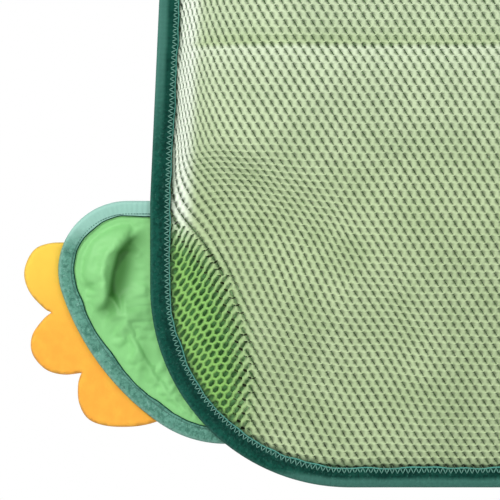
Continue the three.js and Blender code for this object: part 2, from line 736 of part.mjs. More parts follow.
function addHangers() {
  for (const [side, sign] of [['left', -1], ['right', 1]]) {
    const x = sign * browX;
    addPart(`${side}_tab`, tab(), 'webbing', tabBackY, x);
    addPart(`${side}_eyelet`, eyelet(), 'nickel', tabBackY - webbingThickness / 2, x);
    addPart(`${side}_suction_cup`, suctionCup(), 'clear', 0, x);
    addPart(`${side}_hook`, hook(), 'clear', 0, x);
  }
}

addBody();
addFoot('left', points => points);
addFoot('right', mirrored);
addHead();
addHangers();

export default organizer;
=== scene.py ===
"""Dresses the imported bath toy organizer: cloths, net, tapes, felt, stitches and plastics round a fixed frame.

Metres, +Z up, in the frame's own place: the wall is y = 0 and the user stands on its -Y side.
Left is the user's left.
Outlines are drawn as (x, height), and heights count from the hem of the bag.
"""

import logging
import math
from dataclasses import dataclass
from enum import Enum
from typing import Any, Callable, Optional, Sequence

import bpy
import numpy as np
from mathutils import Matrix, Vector
from mathutils.bvhtree import BVHTree
from mathutils.geometry import delaunay_2d_cdt


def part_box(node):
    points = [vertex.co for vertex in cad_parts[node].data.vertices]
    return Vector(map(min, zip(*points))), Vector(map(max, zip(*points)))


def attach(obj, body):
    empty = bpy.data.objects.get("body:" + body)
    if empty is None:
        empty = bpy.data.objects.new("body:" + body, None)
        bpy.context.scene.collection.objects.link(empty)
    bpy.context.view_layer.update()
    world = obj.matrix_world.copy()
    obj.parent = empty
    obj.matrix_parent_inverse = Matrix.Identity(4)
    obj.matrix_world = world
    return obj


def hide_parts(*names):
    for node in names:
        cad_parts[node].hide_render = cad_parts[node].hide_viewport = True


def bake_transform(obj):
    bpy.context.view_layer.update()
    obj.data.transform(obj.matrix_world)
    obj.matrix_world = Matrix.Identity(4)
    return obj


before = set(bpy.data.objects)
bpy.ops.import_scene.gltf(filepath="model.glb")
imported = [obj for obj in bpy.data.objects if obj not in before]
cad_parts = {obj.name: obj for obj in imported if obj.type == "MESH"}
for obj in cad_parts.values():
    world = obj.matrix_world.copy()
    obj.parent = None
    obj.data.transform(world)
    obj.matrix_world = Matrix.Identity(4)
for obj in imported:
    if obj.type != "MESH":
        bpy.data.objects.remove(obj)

LOG = logging.getLogger("organizer")
MM = 0.001
STEP = 2.0 * MM  # between the corners of a plain outline
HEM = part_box("body_binding")[0].z
USER = np.array([0.0, -1.0, 0.0])
Array = np.ndarray
Pair = tuple[float, float]
Triple = tuple[float, float, float]
Colour = Triple
Piece = bpy.types.Object
Material = bpy.types.Material
Socket = bpy.types.NodeSocket
Height = Callable[[Array], Array]


# Sums on arrays


def smooth(value: Array, low: float, high: float) -> Array:
    """Turns from 0 at low to 1 at high, and rests at both ends."""
    share = np.clip((np.asarray(value, float) - low) / (high - low), 0.0, 1.0)
    return share * share * (3.0 - 2.0 * share)


def mix(a: Any, b: Any, share: Any) -> Any:
    """The value that share of the way from a to b."""
    return a + (b - a) * share


def bump(distance: Array, reach: float) -> Array:
    """A round bump of height 1 that fades over about that reach."""
    return np.exp(-((distance / reach) ** 2))


class Ripple:
    """Smooth noise made of a few waves, the same on every run."""

    def __init__(self, seed: int, wavelength: float, waves: int = 7) -> None:
        """Draws the waves.

        Args:
            seed: picks the waves.
            wavelength: about how far apart the crests are.
            waves: how many are added up.
        """
        draw = np.random.default_rng(seed)
        turn = draw.uniform(0.0, 2.0 * np.pi, waves)
        length = wavelength * draw.uniform(0.7, 1.6, waves)
        self.ways = np.stack([np.cos(turn), np.sin(turn)], axis=1) * (2.0 * np.pi / length)[:, None]
        self.phases = draw.uniform(0.0, 2.0 * np.pi, waves)

    def __call__(self, places: Array) -> Array:
        """The noise at (x, height) places, mostly between -1 and 1."""
        return np.sin(places @ self.ways.T + self.phases).sum(axis=1) / math.sqrt(len(self.phases))


# Outlines, anticlockwise as the user sees them


def arc(centre: Sequence[float], radius: float, start: float, stop: float, count: int = 24) -> Array:
    """Places along a round stretch, both ends among them."""
    angles = np.linspace(start, stop, count + 1)
    return np.stack([centre[0] + radius * np.cos(angles), centre[1] + radius * np.sin(angles)], axis=1)


def curved(points: Array, count: int) -> Array:
    """A smooth line through the points, with count corners between each two."""
    padded = np.vstack([points[:1], points, points[-1:]])
    t = np.linspace(0.0, 1.0, count, endpoint=False)[:, None]
    parts = []
    for a, b, c, d in zip(padded, padded[1:], padded[2:], padded[3:]):
        bend = 2.0 * a - 5.0 * b + 4.0 * c - d
        parts.append(0.5 * (2.0 * b + (c - a) * t + bend * t**2 + (3.0 * b - a - 3.0 * c + d) * t**3))
    return np.vstack([*parts, points[-1:]])


def mirrored(points: Array) -> Array:
    """The same line on the other side of the bag, still anticlockwise."""
    return (points * (-1.0, 1.0))[::-1]


def even(points: Array, step: float, closed: bool) -> Array:
    """The same line with its corners about a step apart."""
    line = np.vstack([points, points[:1]]) if closed else points
    gaps = np.linalg.norm(np.diff(line, axis=0), axis=1)
    line = line[np.concatenate([[True], gaps > 1e-7])]
    along = lengths_along(line)
    count = max(2, round(along[-1] / step))
    wanted = np.linspace(0.0, along[-1], count + 1)
    result = np.stack([np.interp(wanted, along, line[:, k]) for k in range(line.shape[1])], axis=1)
    return result[:-1] if closed else result


def outward(points: Array, closed: bool) -> Array:
    """The outward normal at each corner of an outline."""
    before, after = np.roll(points, 1, axis=0), np.roll(points, -1, axis=0)
    if not closed:
        before[0], after[-1] = points[0], points[-1]
    way = after - before
    way /= np.linalg.norm(way, axis=1)[:, None]
    return np.stack([way[:, 1], -way[:, 0]], axis=1)


def drawn_in(points: Array, distance: float, closed: bool) -> Array:
    """The outline that lies a distance further in."""
    return points - outward(points, closed) * distance


def lengths_along(points: Array) -> Array:
    """How far along a line each of its corners is."""
    return np.concatenate([[0.0], np.cumsum(np.linalg.norm(np.diff(points, axis=0), axis=1))])


def cut_from(outline: Array, step: float, inset: float) -> Array:
    """A closed outline with even corners, drawn in from a piece's edge."""
    return drawn_in(even(outline, step, True), inset, True)


def nearest(places: Array, line: Array, closed: bool) -> tuple[Array, Array, Array]:
    """Where each place lies beside a line.

    Args:
        places: the (x, height) places.
        line: the corners of the line.
        closed: whether it meets itself.

    Returns:
        The distance to the line, 1 on its left and -1 on its right, and the share of its corners passed.
    """
    start = line if closed else line[:-1]
    stop = np.roll(line, -1, axis=0) if closed else line[1:]
    way = stop - start
    squared = np.maximum((way**2).sum(axis=1), 1e-18)
    found = np.empty((3, len(places)))
    for low in range(0, len(places), 2000):
        part = slice(low, min(low + 2000, len(places)))
        offset = places[part, None, :] - start[None]
        share = np.clip((offset * way).sum(axis=2) / squared, 0.0, 1.0)
        gap = ((offset - share[..., None] * way) ** 2).sum(axis=2)
        best = gap.argmin(axis=1)
        rows = np.arange(len(best))
        here, step = offset[rows, best], way[best]
        found[0, part] = np.sqrt(gap[rows, best])
        found[1, part] = np.where(step[:, 0] * here[:, 1] - step[:, 1] * here[:, 0] > 0.0, 1.0, -1.0)
        found[2, part] = (best + share[rows, best]) / len(start)
    return found[0], found[1], found[2]


def line_distance(places: Array, line: Array, closed: bool) -> Array:
    """How far each place is from a line."""
    return nearest(places, line, closed)[0]


def inside(places: Array, outline: Array) -> Array:
    """Whether each place lies inside a closed outline."""
    result = np.zeros(len(places), bool)
    for (ax, az), (bx, bz) in zip(outline, np.roll(outline, -1, axis=0)):
        if az == bz:
            continue
        crosses = (places[:, 1] < az) != (places[:, 1] < bz)
        result ^= crosses & (places[:, 0] < ax + (places[:, 1] - az) * (bx - ax) / (bz - az))
    return result


def area_of(outline: Array) -> float:
    """The area inside a closed outline."""
    x, z = outline[:, 0], outline[:, 1]
    return abs(float((x * np.roll(z, -1) - np.roll(x, -1) * z).sum())) / 2.0


# Meshes


def placed(places: Array, y: Any) -> Array:
    """(x, height) places as points of the frame, at a depth or at one depth each."""
    y = np.broadcast_to(np.asarray(y, float), (len(places),))
    return np.stack([places[:, 0], y, places[:, 1] + HEM], axis=1)


def upright(ways: Array) -> Array:
    """Directions in the (x, height) plane as directions of the frame."""
    return np.stack([ways[:, 0], np.zeros(len(ways)), ways[:, 1]], axis=1)


def mesh_object(
    name: str, points: Array, faces: Sequence[Sequence[int]], edges: Sequence[Sequence[int]] = ()
) -> Piece:
    """A new mesh piece with smooth faces, its place in its mesh.

    Args:
        name: the piece's name.
        points: its corners in the frame.
        faces: the corners' indices, anticlockwise from outside.
        edges: the edges of a line without faces.

    Returns:
        The object, linked to the scene.
    """
    mesh = bpy.data.meshes.new(name)
    mesh.from_pydata([tuple(p) for p in points], list(edges), [tuple(int(i) for i in f) for f in faces])
    mesh.polygons.foreach_set("use_smooth", np.ones(len(mesh.polygons), bool))
    mesh.update()
    piece = bpy.data.objects.new(name, mesh)
    bpy.context.scene.collection.objects.link(piece)
    return piece


def corners_of(piece: Piece) -> Array:
    """The corners of a mesh piece."""
    found = np.empty(len(piece.data.vertices) * 3)
    piece.data.vertices.foreach_get("co", found)
    return found.reshape(-1, 3)


def store(piece: Piece, name: str, values: Array) -> None:
    """Keeps a number or a vector for each corner of a piece, as an attribute."""
    values = np.asarray(values, float)
    kind, key = ("FLOAT_VECTOR", "vector") if values.ndim > 1 else ("FLOAT", "value")
    piece.data.attributes.new(name, kind, "POINT").data.foreach_set(key, values.ravel())


def settled(piece: Piece) -> Piece:
    """Turns what the modifiers make into the piece's own plain mesh, and removes them."""
    graph = bpy.context.evaluated_depsgraph_get()
    made = bpy.data.meshes.new_from_object(
        piece.evaluated_get(graph), preserve_all_data_layers=True, depsgraph=graph
    )
    piece.modifiers.clear()
    old, piece.data = piece.data, made
    bpy.data.meshes.remove(old)
    return piece


def joined(name: str, pieces: Sequence[Piece]) -> Piece:
    """One piece made of several, which are used up."""
    with bpy.context.temp_override(
        active_object=pieces[0], selected_editable_objects=list(pieces), selected_objects=list(pieces)
    ):
        bpy.ops.object.join()
    pieces[0].name = name
    pieces[0].data.name = name
    return pieces[0]


def flat_mesh(
    outline: Array, spacing: float, hole: Optional[Array] = None
) -> tuple[Array, list[tuple[int, ...]]]:
    """Fills an outline with triangles of about one size.

    Args:
        outline: the closed outline.
        spacing: about how far apart the corners are.
        hole: the outline of a hole in it.

    Returns:
        The (x, height) corners and the faces, facing the user.
    """
    rim = even(outline, spacing, True)
    low, high = rim.min(axis=0), rim.max(axis=0)
    rows = []
    for i, height in enumerate(np.arange(low[1], high[1], spacing * math.sqrt(3.0) / 2.0)):
        xs = np.arange(low[0] + (i % 2) * spacing / 2.0, high[0], spacing)
        rows.append(np.stack([xs, np.full_like(xs, height)], axis=1))
    inner = np.concatenate(rows)
    inner = inner[inside(inner, rim)]
    inner = inner[line_distance(inner, rim, True) > 0.6 * spacing]
    edges: list[tuple[int, int]] = []
    if hole is not None:
        around = even(hole, spacing, True)
        inner = inner[~inside(inner, around)]
        inner = inner[line_distance(inner, around, True) > 0.6 * spacing]
        edges = [(len(rim) + i, len(rim) + (i + 1) % len(around)) for i in range(len(around))]
        inner = np.vstack([around, inner])
    coordinates = [Vector(p) for p in np.vstack([rim, inner])]
    found, _, faces, *_ = delaunay_2d_cdt(coordinates, edges, [list(range(len(rim)))], 1, 1e-7)
    corners = np.array([tuple(c) for c in found])
    if hole is not None:
        middles = np.array([corners[list(face)].mean(axis=0) for face in faces])
        faces = [face for face, gone in zip(faces, inside(middles, hole)) if not gone]
    return corners, [tuple(face) for face in faces]


def two_faced(
    name: str, places: Array, faces: Sequence, front: Array, back: Array
) -> Piece:
    """A closed piece of two faces that share their corners along every edge.

    Args:
        name: the piece's name.
        places: the (x, height) corners.
        faces: the faces, facing the user.
        front: where each corner of the user's face is along Y.
        back: where each corner of the other face is along Y.

    Returns:
        The piece.
    """
    sides = [(face[k], face[(k + 1) % len(face)]) for face in faces for k in range(len(face))]
    pairs, count = np.unique(np.sort(np.array(sides), axis=1), axis=0, return_counts=True)
    keep = np.setdiff1d(np.arange(len(places)), pairs[count == 1])
    twin = np.arange(len(places))
    twin[keep] = len(places) + np.arange(len(keep))
    behind = [tuple(int(twin[i]) for i in face[::-1]) for face in faces]
    points = np.vstack([placed(places, front), placed(places, back)[keep]])
    return outwards(mesh_object(name, points, list(faces) + behind))


def swept(name: str, rings: Array, closed: bool, u: Array, v: Array) -> Piece:
    """A closed skin over rings of corners, with a UV map in metres.

    Args:
        name: the piece's name.
        rings: the corners, ring by ring.
        closed: whether the last ring meets the first.
        u: each ring's place along the sweep.
        v: each corner's place round its ring.

    Returns:
        The piece.
    """
    count, size = rings.shape[:2]
    spans = count if closed else count - 1
    i, j = np.meshgrid(np.arange(spans), np.arange(size), indexing="ij")
    i, j = i.ravel(), j.ravel()
    after, beside = (i + 1) % count, (j + 1) % size
    faces = np.stack([i * size + j, after * size + j, after * size + beside, i * size + beside], axis=1)
    faces = [tuple(f) for f in faces]
    ends = [] if closed else [tuple(range(size)), tuple(range(count * size - 1, (count - 1) * size - 1, -1))]
    piece = mesh_object(name, rings.reshape(-1, 3), faces + ends)
    step_u = np.append(u[1:], 2.0 * u[-1] - u[-2])
    step_v = np.append(v[1:], 2.0 * v[-1] - v[-2])
    quads = np.stack([
        np.stack([u[i], v[j]], 1), np.stack([step_u[i], v[j]], 1),
        np.stack([step_u[i], step_v[j]], 1), np.stack([u[i], step_v[j]], 1),
    ], axis=1).reshape(-1, 2)
    layer = piece.data.uv_layers.new(name="UVMap")
    flat = np.zeros((len(piece.data.loops), 2))
    flat[: len(quads)] = quads
    layer.data.foreach_set("uv", flat.ravel())
    return outwards(piece)


def outwards(piece: Piece) -> Piece:
    """Turns a closed piece inside out if its faces point inwards."""
    mesh = piece.data
    mesh.calc_loop_triangles()
    corners = corners_of(piece)
    triangles = np.empty(len(mesh.loop_triangles) * 3, int)
    mesh.loop_triangles.foreach_get("vertices", triangles)
    a, b, c = (corners[triangles.reshape(-1, 3)[:, k]] for k in range(3))
    if (a * np.cross(b, c)).sum() < 0.0:
        mesh.flip_normals()
    return piece


def turned(name: str, profile: Sequence[Sequence[float]], x: float, height: float) -> Piece:
    """A piece turned about a line parallel to Y.

    Args:
        name: the piece's name.
        profile: a closed list of (radius, y), or one that starts and ends on the axis.
        x: where the axis is.
        height: where the axis is, over the hem.

    Returns:
        The piece.
    """
    sides = 96
    angles = np.linspace(0.0, 2.0 * np.pi, sides, endpoint=False)
    corners, rings = [], []
    for radius, y in profile:
        if radius < 1e-9:
            rings.append([len(corners)] * sides)
            corners.append((x, y, height + HEM))
            continue
        rings.append(list(range(len(corners), len(corners) + sides)))
        corners += [(x + radius * math.cos(t), y, height + HEM + radius * math.sin(t)) for t in angles]
    loop = profile[0][0] > 1e-9
    pairs = list(zip(rings, rings[1:] + rings[:1] if loop else rings[1:]))
    faces = []
    for here, there in pairs:
        for i in range(sides):
            j = (i + 1) % sides
            face = list(dict.fromkeys([here[i], here[j], there[j], there[i]]))
            if len(face) > 2:
                faces.append(face)
    return outwards(mesh_object(name, np.array(corners), faces))


def rounded(profile: Sequence[Sequence[float]], radius: float, steps: int = 4) -> list[Pair]:
    """A turning profile with its corners rounded, apart from those on the axis."""
    points = [np.array(p, float) for p in profile]
    result: list[Pair] = []
    for i, here in enumerate(points):
        before, after = points[i - 1] - here, points[(i + 1) % len(points)] - here
        if here[0] < 1e-9:
            result.append(tuple(here))
            continue
        cut = min(radius, 0.45 * np.linalg.norm(before), 0.45 * np.linalg.norm(after))
        first = here + before / np.linalg.norm(before) * cut
        last = here + after / np.linalg.norm(after) * cut
        for share in np.linspace(0.0, 1.0, steps):
            result.append(tuple(mix(mix(first, here, share), mix(here, last, share), share)))
    return result


# Node trees


class Num:
    """A number in a node tree. Sums on it add Math nodes."""

    def __init__(self, tree: "Tree", socket: Socket) -> None:
        """Wraps a socket that gives a number."""
        self.tree = tree
        self.socket = socket

    def sum(self, operation: str, *others: Any) -> "Num":
        """This number and others put through one Math node."""
        return self.tree.maths(operation, self, *others)

    def __add__(self, other: Any) -> "Num":
        """self + other."""
        return self.sum("ADD", other)

    __radd__ = __add__

    def __mul__(self, other: Any) -> "Num":
        """self * other."""
        return self.sum("MULTIPLY", other)

    __rmul__ = __mul__

    def __sub__(self, other: Any) -> "Num":
        """self - other."""
        return self.sum("SUBTRACT", other)

    def __rsub__(self, other: Any) -> "Num":
        """other - self."""
        return self.tree.maths("SUBTRACT", other, self)

    def __truediv__(self, other: Any) -> "Num":
        """self / other."""
        return self.sum("DIVIDE", other)

    def __rtruediv__(self, other: Any) -> "Num":
        """other / self."""
        return self.tree.maths("DIVIDE", other, self)

    def __mod__(self, other: Any) -> "Num":
        """What is left of self after whole others."""
        return self.sum("FLOORED_MODULO", other)

    def wave(self, length: float) -> "Num":
        """A sine of self with that wavelength."""
        return (self * (2.0 * math.pi / length)).sum("SINE")

    def ridges(self, length: float) -> "Num":
        """A smooth rise to 1 and fall to 0 in every length of self."""
        return self.wave(length) * 0.5 + 0.5

    def capped(self) -> "Num":
        """self, or 1 where it is more."""
        return self.sum("MINIMUM", 1.0)

    def between(self, low: float, high: float) -> "Num":
        """0 at low and 1 at high, smooth at both ends."""
        node = self.tree.node(
            "ShaderNodeMapRange",
            {"interpolation_type": "SMOOTHSTEP"},
            {"Value": self, "From Min": low, "From Max": high},
        )
        return Num(self.tree, node.outputs["Result"])


class Tree:
    """A node tree that is built by calls."""

    def __init__(self, nodes: bpy.types.NodeTree) -> None:
        """Wraps a node tree."""
        self.nodes = nodes

    def node(
        self, kind: str, settings: Optional[dict[str, Any]] = None, values: Optional[dict[Any, Any]] = None
    ) -> bpy.types.Node:
        """Adds a node.

        Args:
            kind: the node's type.
            settings: its own settings. stops, a list of (place, colour), sets a ramp.
            values: a value or a link for each socket, by name or index.

        Returns:
            The node.
        """
        node = self.nodes.nodes.new(kind)
        for name, value in (settings or {}).items():
            if name == "stops":
                while len(node.color_ramp.elements) < len(value):
                    node.color_ramp.elements.new(1.0)
                for element, (place, colour) in zip(node.color_ramp.elements, value):
                    element.position = place
                    element.color = (*colour, 1.0)
            else:
                setattr(node, name, value)
        for key, value in (values or {}).items():
            self.feed(node.inputs[key], value)
        return node

    def first(
        self, kind: str, settings: Optional[dict[str, Any]] = None, values: Optional[dict[Any, Any]] = None
    ) -> Socket:
        """The first output of a new node."""
        made = self.node(kind, settings, values)
        return made.outputs[0]

    def feed(self, socket: Socket, value: Any) -> None:
        """Gives a socket a link or a plain value."""
        value = value.socket if isinstance(value, Num) else value
        if isinstance(value, Socket):
            self.nodes.links.new(value, socket)
        else:
            socket.default_value = value

    def maths(self, operation: str, *values: Any) -> Num:
        """The result of one Math node."""
        node = self.node("ShaderNodeMath", {"operation": operation}, dict(enumerate(values)))
        return Num(self, node.outputs[0])

    def vector(self, operation: str, *values: Any) -> Socket:
        """The result of one Vector Math node, whose scale is the last value of a SCALE."""
        keys: list[Any] = list(range(len(values)))
        if operation == "SCALE":
            keys[-1] = "Scale"
        node = self.node("ShaderNodeVectorMath", {"operation": operation}, dict(zip(keys, values)))
        return node.outputs["Value" if operation in ("LENGTH", "DISTANCE", "DOT_PRODUCT") else "Vector"]

    def parts(self, vector: Any) -> tuple[Num, Num, Num]:
        """The three numbers of a vector."""
        node = self.node("ShaderNodeSeparateXYZ", {}, {0: vector})
        x, y, z = (Num(self, output) for output in node.outputs[:3])
        return x, y, z

    def joined(self, x: Any, y: Any, z: Any) -> Socket:
        """A vector of three numbers."""
        return self.first("ShaderNodeCombineXYZ", {}, {0: x, 1: y, 2: z})


class Paint(Tree):
    """A material that is built by calls on its node tree."""

    def __init__(self, name: str) -> None:
        """Makes an empty material with a Principled shader."""
        self.material = bpy.data.materials.new(name)
        self.material.use_nodes = True
        super().__init__(self.material.node_tree)
        self.shader = self.nodes.nodes["Principled BSDF"]
        self.object_place = self.node("ShaderNodeTexCoord").outputs["Object"]

    def fixed(self, **values: Any) -> None:
        """Sets plain values on the shader's own sockets, whose names have _ for a space."""
        for name, value in values.items():
            self.shader.inputs[name.replace("_", " ")].default_value = value

    def noise(self, scale: float, detail: float = 2.0, vector: Any = None, rough: float = 0.5) -> Num:
        """Noise from 0 to 1 with about scale lumps a metre."""
        node = self.node("ShaderNodeTexNoise", {}, {
            "Vector": self.object_place if vector is None else vector,
            "Scale": scale, "Detail": detail, "Roughness": rough,
        })
        return Num(self, node.outputs[0])

    def uv(self) -> tuple[Num, Num, Num]:
        """The piece's own UV map, in metres."""
        return self.parts(self.first("ShaderNodeUVMap", {"uv_map": "UVMap"}))

    def kept(self, name: str) -> Num:
        """A number that the piece keeps as an attribute."""
        return Num(self, self.node("ShaderNodeAttribute", {"attribute_name": name}).outputs["Fac"])

    def kept_vector(self, name: str) -> tuple[Num, Num, Num]:
        """The three numbers of a vector that the piece keeps as an attribute."""
        return self.parts(self.node("ShaderNodeAttribute", {"attribute_name": name}).outputs["Vector"])

    def blend(self, share: Any, first: Any, second: Any) -> Socket:
        """A colour that goes from first to second."""
        as_colour = [(*c, 1.0) if isinstance(c, tuple) else c for c in (first, second)]
        node = self.node("ShaderNodeMix", {"data_type": "RGBA"}, {0: share, 6: as_colour[0], 7: as_colour[1]})
        return node.outputs[2]

    def base(self, colour: Any) -> None:
        """Sets the base colour."""
        self.feed(self.shader.inputs["Base Color"], (*colour, 1.0) if isinstance(colour, tuple) else colour)

    def rough(self, value: Any) -> None:
        """Sets the roughness."""
        self.feed(self.shader.inputs["Roughness"], value)

    def relief(self, *layers: tuple[Any, float]) -> None:
        """Adds bump layers, each a height from 0 to 1 and how far it rises in metres."""
        normal: Any = None
        for height, rise in layers:
            values = {"Height": height, "Distance": rise, "Strength": 1.0}
            if normal is not None:
                values["Normal"] = normal
            normal = self.first("ShaderNodeBump", {}, values)
        self.feed(self.shader.inputs["Normal"], normal)


# Finishes: scales count lumps a metre, and shares go from 0 to 1


@dataclass(frozen=True)
class Finish:
    """A finish and its main colour."""

    name: str
    colour: Colour

    def made(self) -> Material:
        """The material."""
        paint = Paint(self.name)
        self.cover(paint)
        return paint.material

    def cover(self, paint: Paint) -> None:
        """Adds the nodes of the finish to an empty material."""
        raise NotImplementedError

    def darker(self, share: float) -> Colour:
        """The main colour with that share of its light."""
        red, green, blue = (part * share for part in self.colour)
        return red, green, blue


@dataclass(frozen=True)
class SatinCloth(Finish):
    """Satin nylon with a fine weave, darker where a piece keeps a shade and paler where it keeps light."""

    deep: Colour
    shaded: Colour
    lit: Colour
    thread: float = 0.36 * MM
    cloud_scale: float = 26.0
    cloud_share: float = 0.55
    weave_share: float = 0.12
    roughness: Pair = (0.42, 0.55)
    rub_scale: float = 90.0
    crumple_scale: float = 150.0
    crumple_rise: float = 0.25 * MM
    weave_rise: float = 0.03 * MM

    def cover(self, paint: Paint) -> None:
        """Adds weave, clouds, the kept shade and light, and crumples."""
        x, _, z = paint.parts(paint.object_place)
        weave = x.wave(self.thread) * z.wave(self.thread) * 0.5 + 0.5
        cloudy = paint.noise(self.cloud_scale, 3.0).between(0.25, 0.75)
        cloth = paint.blend(cloudy * self.cloud_share + weave * self.weave_share, self.colour, self.deep)
        lit = paint.blend(paint.kept("lit"), cloth, self.lit)
        paint.base(paint.blend(paint.kept("shade"), lit, self.shaded))
        paint.rough(mix(*self.roughness, paint.noise(self.rub_scale)))
        paint.fixed(Sheen_Weight=0.05, Sheen_Roughness=0.4, Specular_IOR_Level=0.35)
        paint.relief((paint.noise(self.crumple_scale), self.crumple_rise), (weave, self.weave_rise))


@dataclass(frozen=True)
class WovenTape(Finish):
    """Folded binding tape, mottled low down and smooth high up, with painted highlight along its fold and on
    its outer part high up and right at the hem.

    Its UV map says how far along the tape a place is, and how far across it from its inner edge.
    """

    deep: Colour
    pale: Colour
    edge: Colour
    smooth_from: float
    smooth_over: float
    smooth_width: float
    fold_at: float
    edge_width: float = 0.6 * MM
    stitch: float = 2.4 * MM
    twill: float = 0.55 * MM
    twill_slant: float = 0.8
    cross_twill: float = 0.7
    smooth_blend: float = 2.5 * MM
    hem_highlight: Pair = (HEM + 4.0 * MM, HEM + 9.0 * MM)
    fold_width: float = 1.6 * MM
    patch_scale: float = 160.0
    speck_scale: float = 750.0
    wear_scale: float = 900.0
    patch_dark: float = 0.4
    rib_dark: float = 0.15
    speck_dark: float = 0.4
    inner_dark: float = 0.45
    worn_pale: Pair = (0.1, 0.4)
    fold_highlight: float = 0.3
    highlight_share: float = 0.85
    roughness: Pair = (0.6, 0.8)

    def cover(self, paint: Paint) -> None:
        """Adds twill, patches, specks, wear, painted highlight along the fold and in bands high up and at the
        hem, a dark inner edge and the pull of the stitches.
        """
        u, v, _ = paint.uv()
        _, _, z = paint.parts(paint.object_place)
        ribs = (u + v * self.twill_slant).ridges(self.twill)
        cross = v.ridges(self.twill * self.cross_twill)
        mottled = 1.0 - z.between(self.smooth_from, self.smooth_from + self.smooth_over)
        outer = v.between(self.smooth_width, self.smooth_width + self.smooth_blend)
        at_hem = 1.0 - z.between(*self.hem_highlight)
        patches = paint.noise(self.patch_scale, 4.0, rough=0.7).between(0.35, 0.7)
        specks = paint.noise(self.speck_scale, 3.0, rough=0.6).between(0.46, 0.62)
        # Painted highlight along the round fold.
        fold = (1.0 - ((v - self.fold_at).sum("ABSOLUTE") / self.fold_width)).between(0.0, 1.0)
        dark = patches * self.patch_dark + ribs * self.rib_dark + mottled * specks * self.speck_dark
        dark = dark + (1.0 - outer) * self.inner_dark
        body = paint.blend(dark.capped(), self.colour, self.deep)
        wear = mottled * self.worn_pale[1] + self.worn_pale[0]
        worn = paint.noise(self.wear_scale, 3.0, rough=0.7).between(0.55, 0.75) * wear
        # Painted highlight on the outer part high up and right at the hem.
        highlight_band = (1.0 - mottled + at_hem) * outer * self.highlight_share
        # The pale colour serves both the real wear patches and the painted highlights.
        worn_and_highlit = paint.blend((worn + fold * self.fold_highlight + highlight_band).capped(), body, self.pale)
        rim = 1.0 - v.between(self.edge_width * 0.7, self.edge_width)
        paint.base(paint.blend(rim, worn_and_highlit, self.edge))
        paint.rough(mix(*self.roughness, patches))
        paint.fixed(Sheen_Weight=0.02, Specular_IOR_Level=0.1)
        pull = u.ridges(self.stitch)
        paint.relief((pull, 0.10 * MM), (ribs * 0.7 + cross * 0.3, 0.06 * MM), (specks * mottled, 0.12 * MM))


@dataclass(frozen=True)
class NetYarn(Finish):
    """Knitted polyester net, whose tone holds three masks: its loose low corners, painted darker and greener as
    painted shade and green bounce light; painted light; and the tape's painted shadow beside it.
    """

    deep: Colour
    slack_shade: Colour
    painted_light: Colour
    tape_shadow: Colour
    cloud_scale: float = 45.0
    cloud_share: float = 0.6
    fleck_scale: float = 900.0
    fleck_share: float = 0.4
    fibre_scale: float = 2400.0
    roughness: float = 0.62

    def cover(self, paint: Paint) -> None:
        """Adds clouds, flecks and fibres, then over them the painted shade and green bounce light of the loose
        corners, the painted light, and the tape's painted shadow.
        """
        slack_shade, painted_light, tape_shadow = paint.kept_vector("tone")
        clouds = paint.noise(self.cloud_scale, 3.0).between(0.3, 0.7) * self.cloud_share
        flecks = paint.noise(self.fleck_scale).between(0.4, 0.8) * self.fleck_share
        tight = paint.blend(painted_light, paint.blend(clouds + flecks, self.colour, self.deep), self.painted_light)
        paint.base(paint.blend(tape_shadow, paint.blend(slack_shade, tight, self.slack_shade), self.tape_shadow))
        paint.rough(self.roughness)
        paint.fixed(Sheen_Weight=0.05, Specular_IOR_Level=0.25)
        paint.relief((paint.noise(self.fibre_scale), 0.10 * MM))


@dataclass(frozen=True)
class Felt(Finish):
    """Pressed felt, which may have another colour low down."""

    low_colour: Optional[Colour] = None
    low: float = 0.0
    high: float = 1.0
    lump_scale: float = 220.0
    lump_share: float = 0.35
    fibre_scale: float = 1500.0
    fibre_share: float = 0.15

    def cover(self, paint: Paint) -> None:
        """Adds lumps and fibres over the colours."""
        _, _, z = paint.parts(paint.object_place)
        fibres = paint.noise(self.fibre_scale, 4.0, rough=0.75)
        lumps = paint.noise(self.lump_scale, 3.0)
        plain = paint.blend(z.between(self.low, self.high), self.low_colour or self.colour, self.colour)
        dark = lumps.between(0.3, 0.8) * self.lump_share + fibres * self.fibre_share
        paint.base(paint.blend(dark, plain, self.darker(0.88)))
        paint.rough(0.93)
        paint.fixed(Sheen_Weight=0.08, Sheen_Roughness=0.6, Specular_IOR_Level=0.15)
        paint.relief((lumps, 0.12 * MM), (fibres, 0.16 * MM))


@dataclass(frozen=True)
class Thread(Finish):
    """Twisted sewing thread, whose twist follows its length."""

    twist: float = 0.5 * MM
    fleck_scale: float = 900.0

    def cover(self, paint: Paint) -> None:
        """Adds the twist and flecks."""
        ply = paint.kept("along").ridges(self.twist)
        dark = ply * 0.5 + paint.noise(self.fleck_scale) * 0.3
        paint.base(paint.blend(dark, self.colour, self.darker(0.55)))
        paint.rough(0.5)
        paint.fixed(Sheen_Weight=0.3)
        paint.relief((ply, 0.05 * MM))


@dataclass(frozen=True)
class Webbing(Finish):
    """Coarse webbing with ribs across it."""

    deep: Colour
    rib: float = 1.3 * MM
    cloud_scale: float = 300.0
    fibre_scale: float = 1600.0

    def cover(self, paint: Paint) -> None:
        """Adds slanting rows, columns and fibres."""
        x, _, z = paint.parts(paint.object_place)
        rows = (z + (x / self.rib).sum("PINGPONG", 1.0) * (self.rib * 0.5)).ridges(self.rib)
        columns = x.ridges(self.rib * 2.0)
        paint.base(paint.blend(rows * 0.4 + paint.noise(self.cloud_scale) * 0.4, self.colour, self.deep))
        paint.rough(0.68)
        paint.fixed(Sheen_Weight=0.2)
        paint.relief((rows * 0.7 + columns * 0.3, 0.22 * MM), (paint.noise(self.fibre_scale), 0.05 * MM))


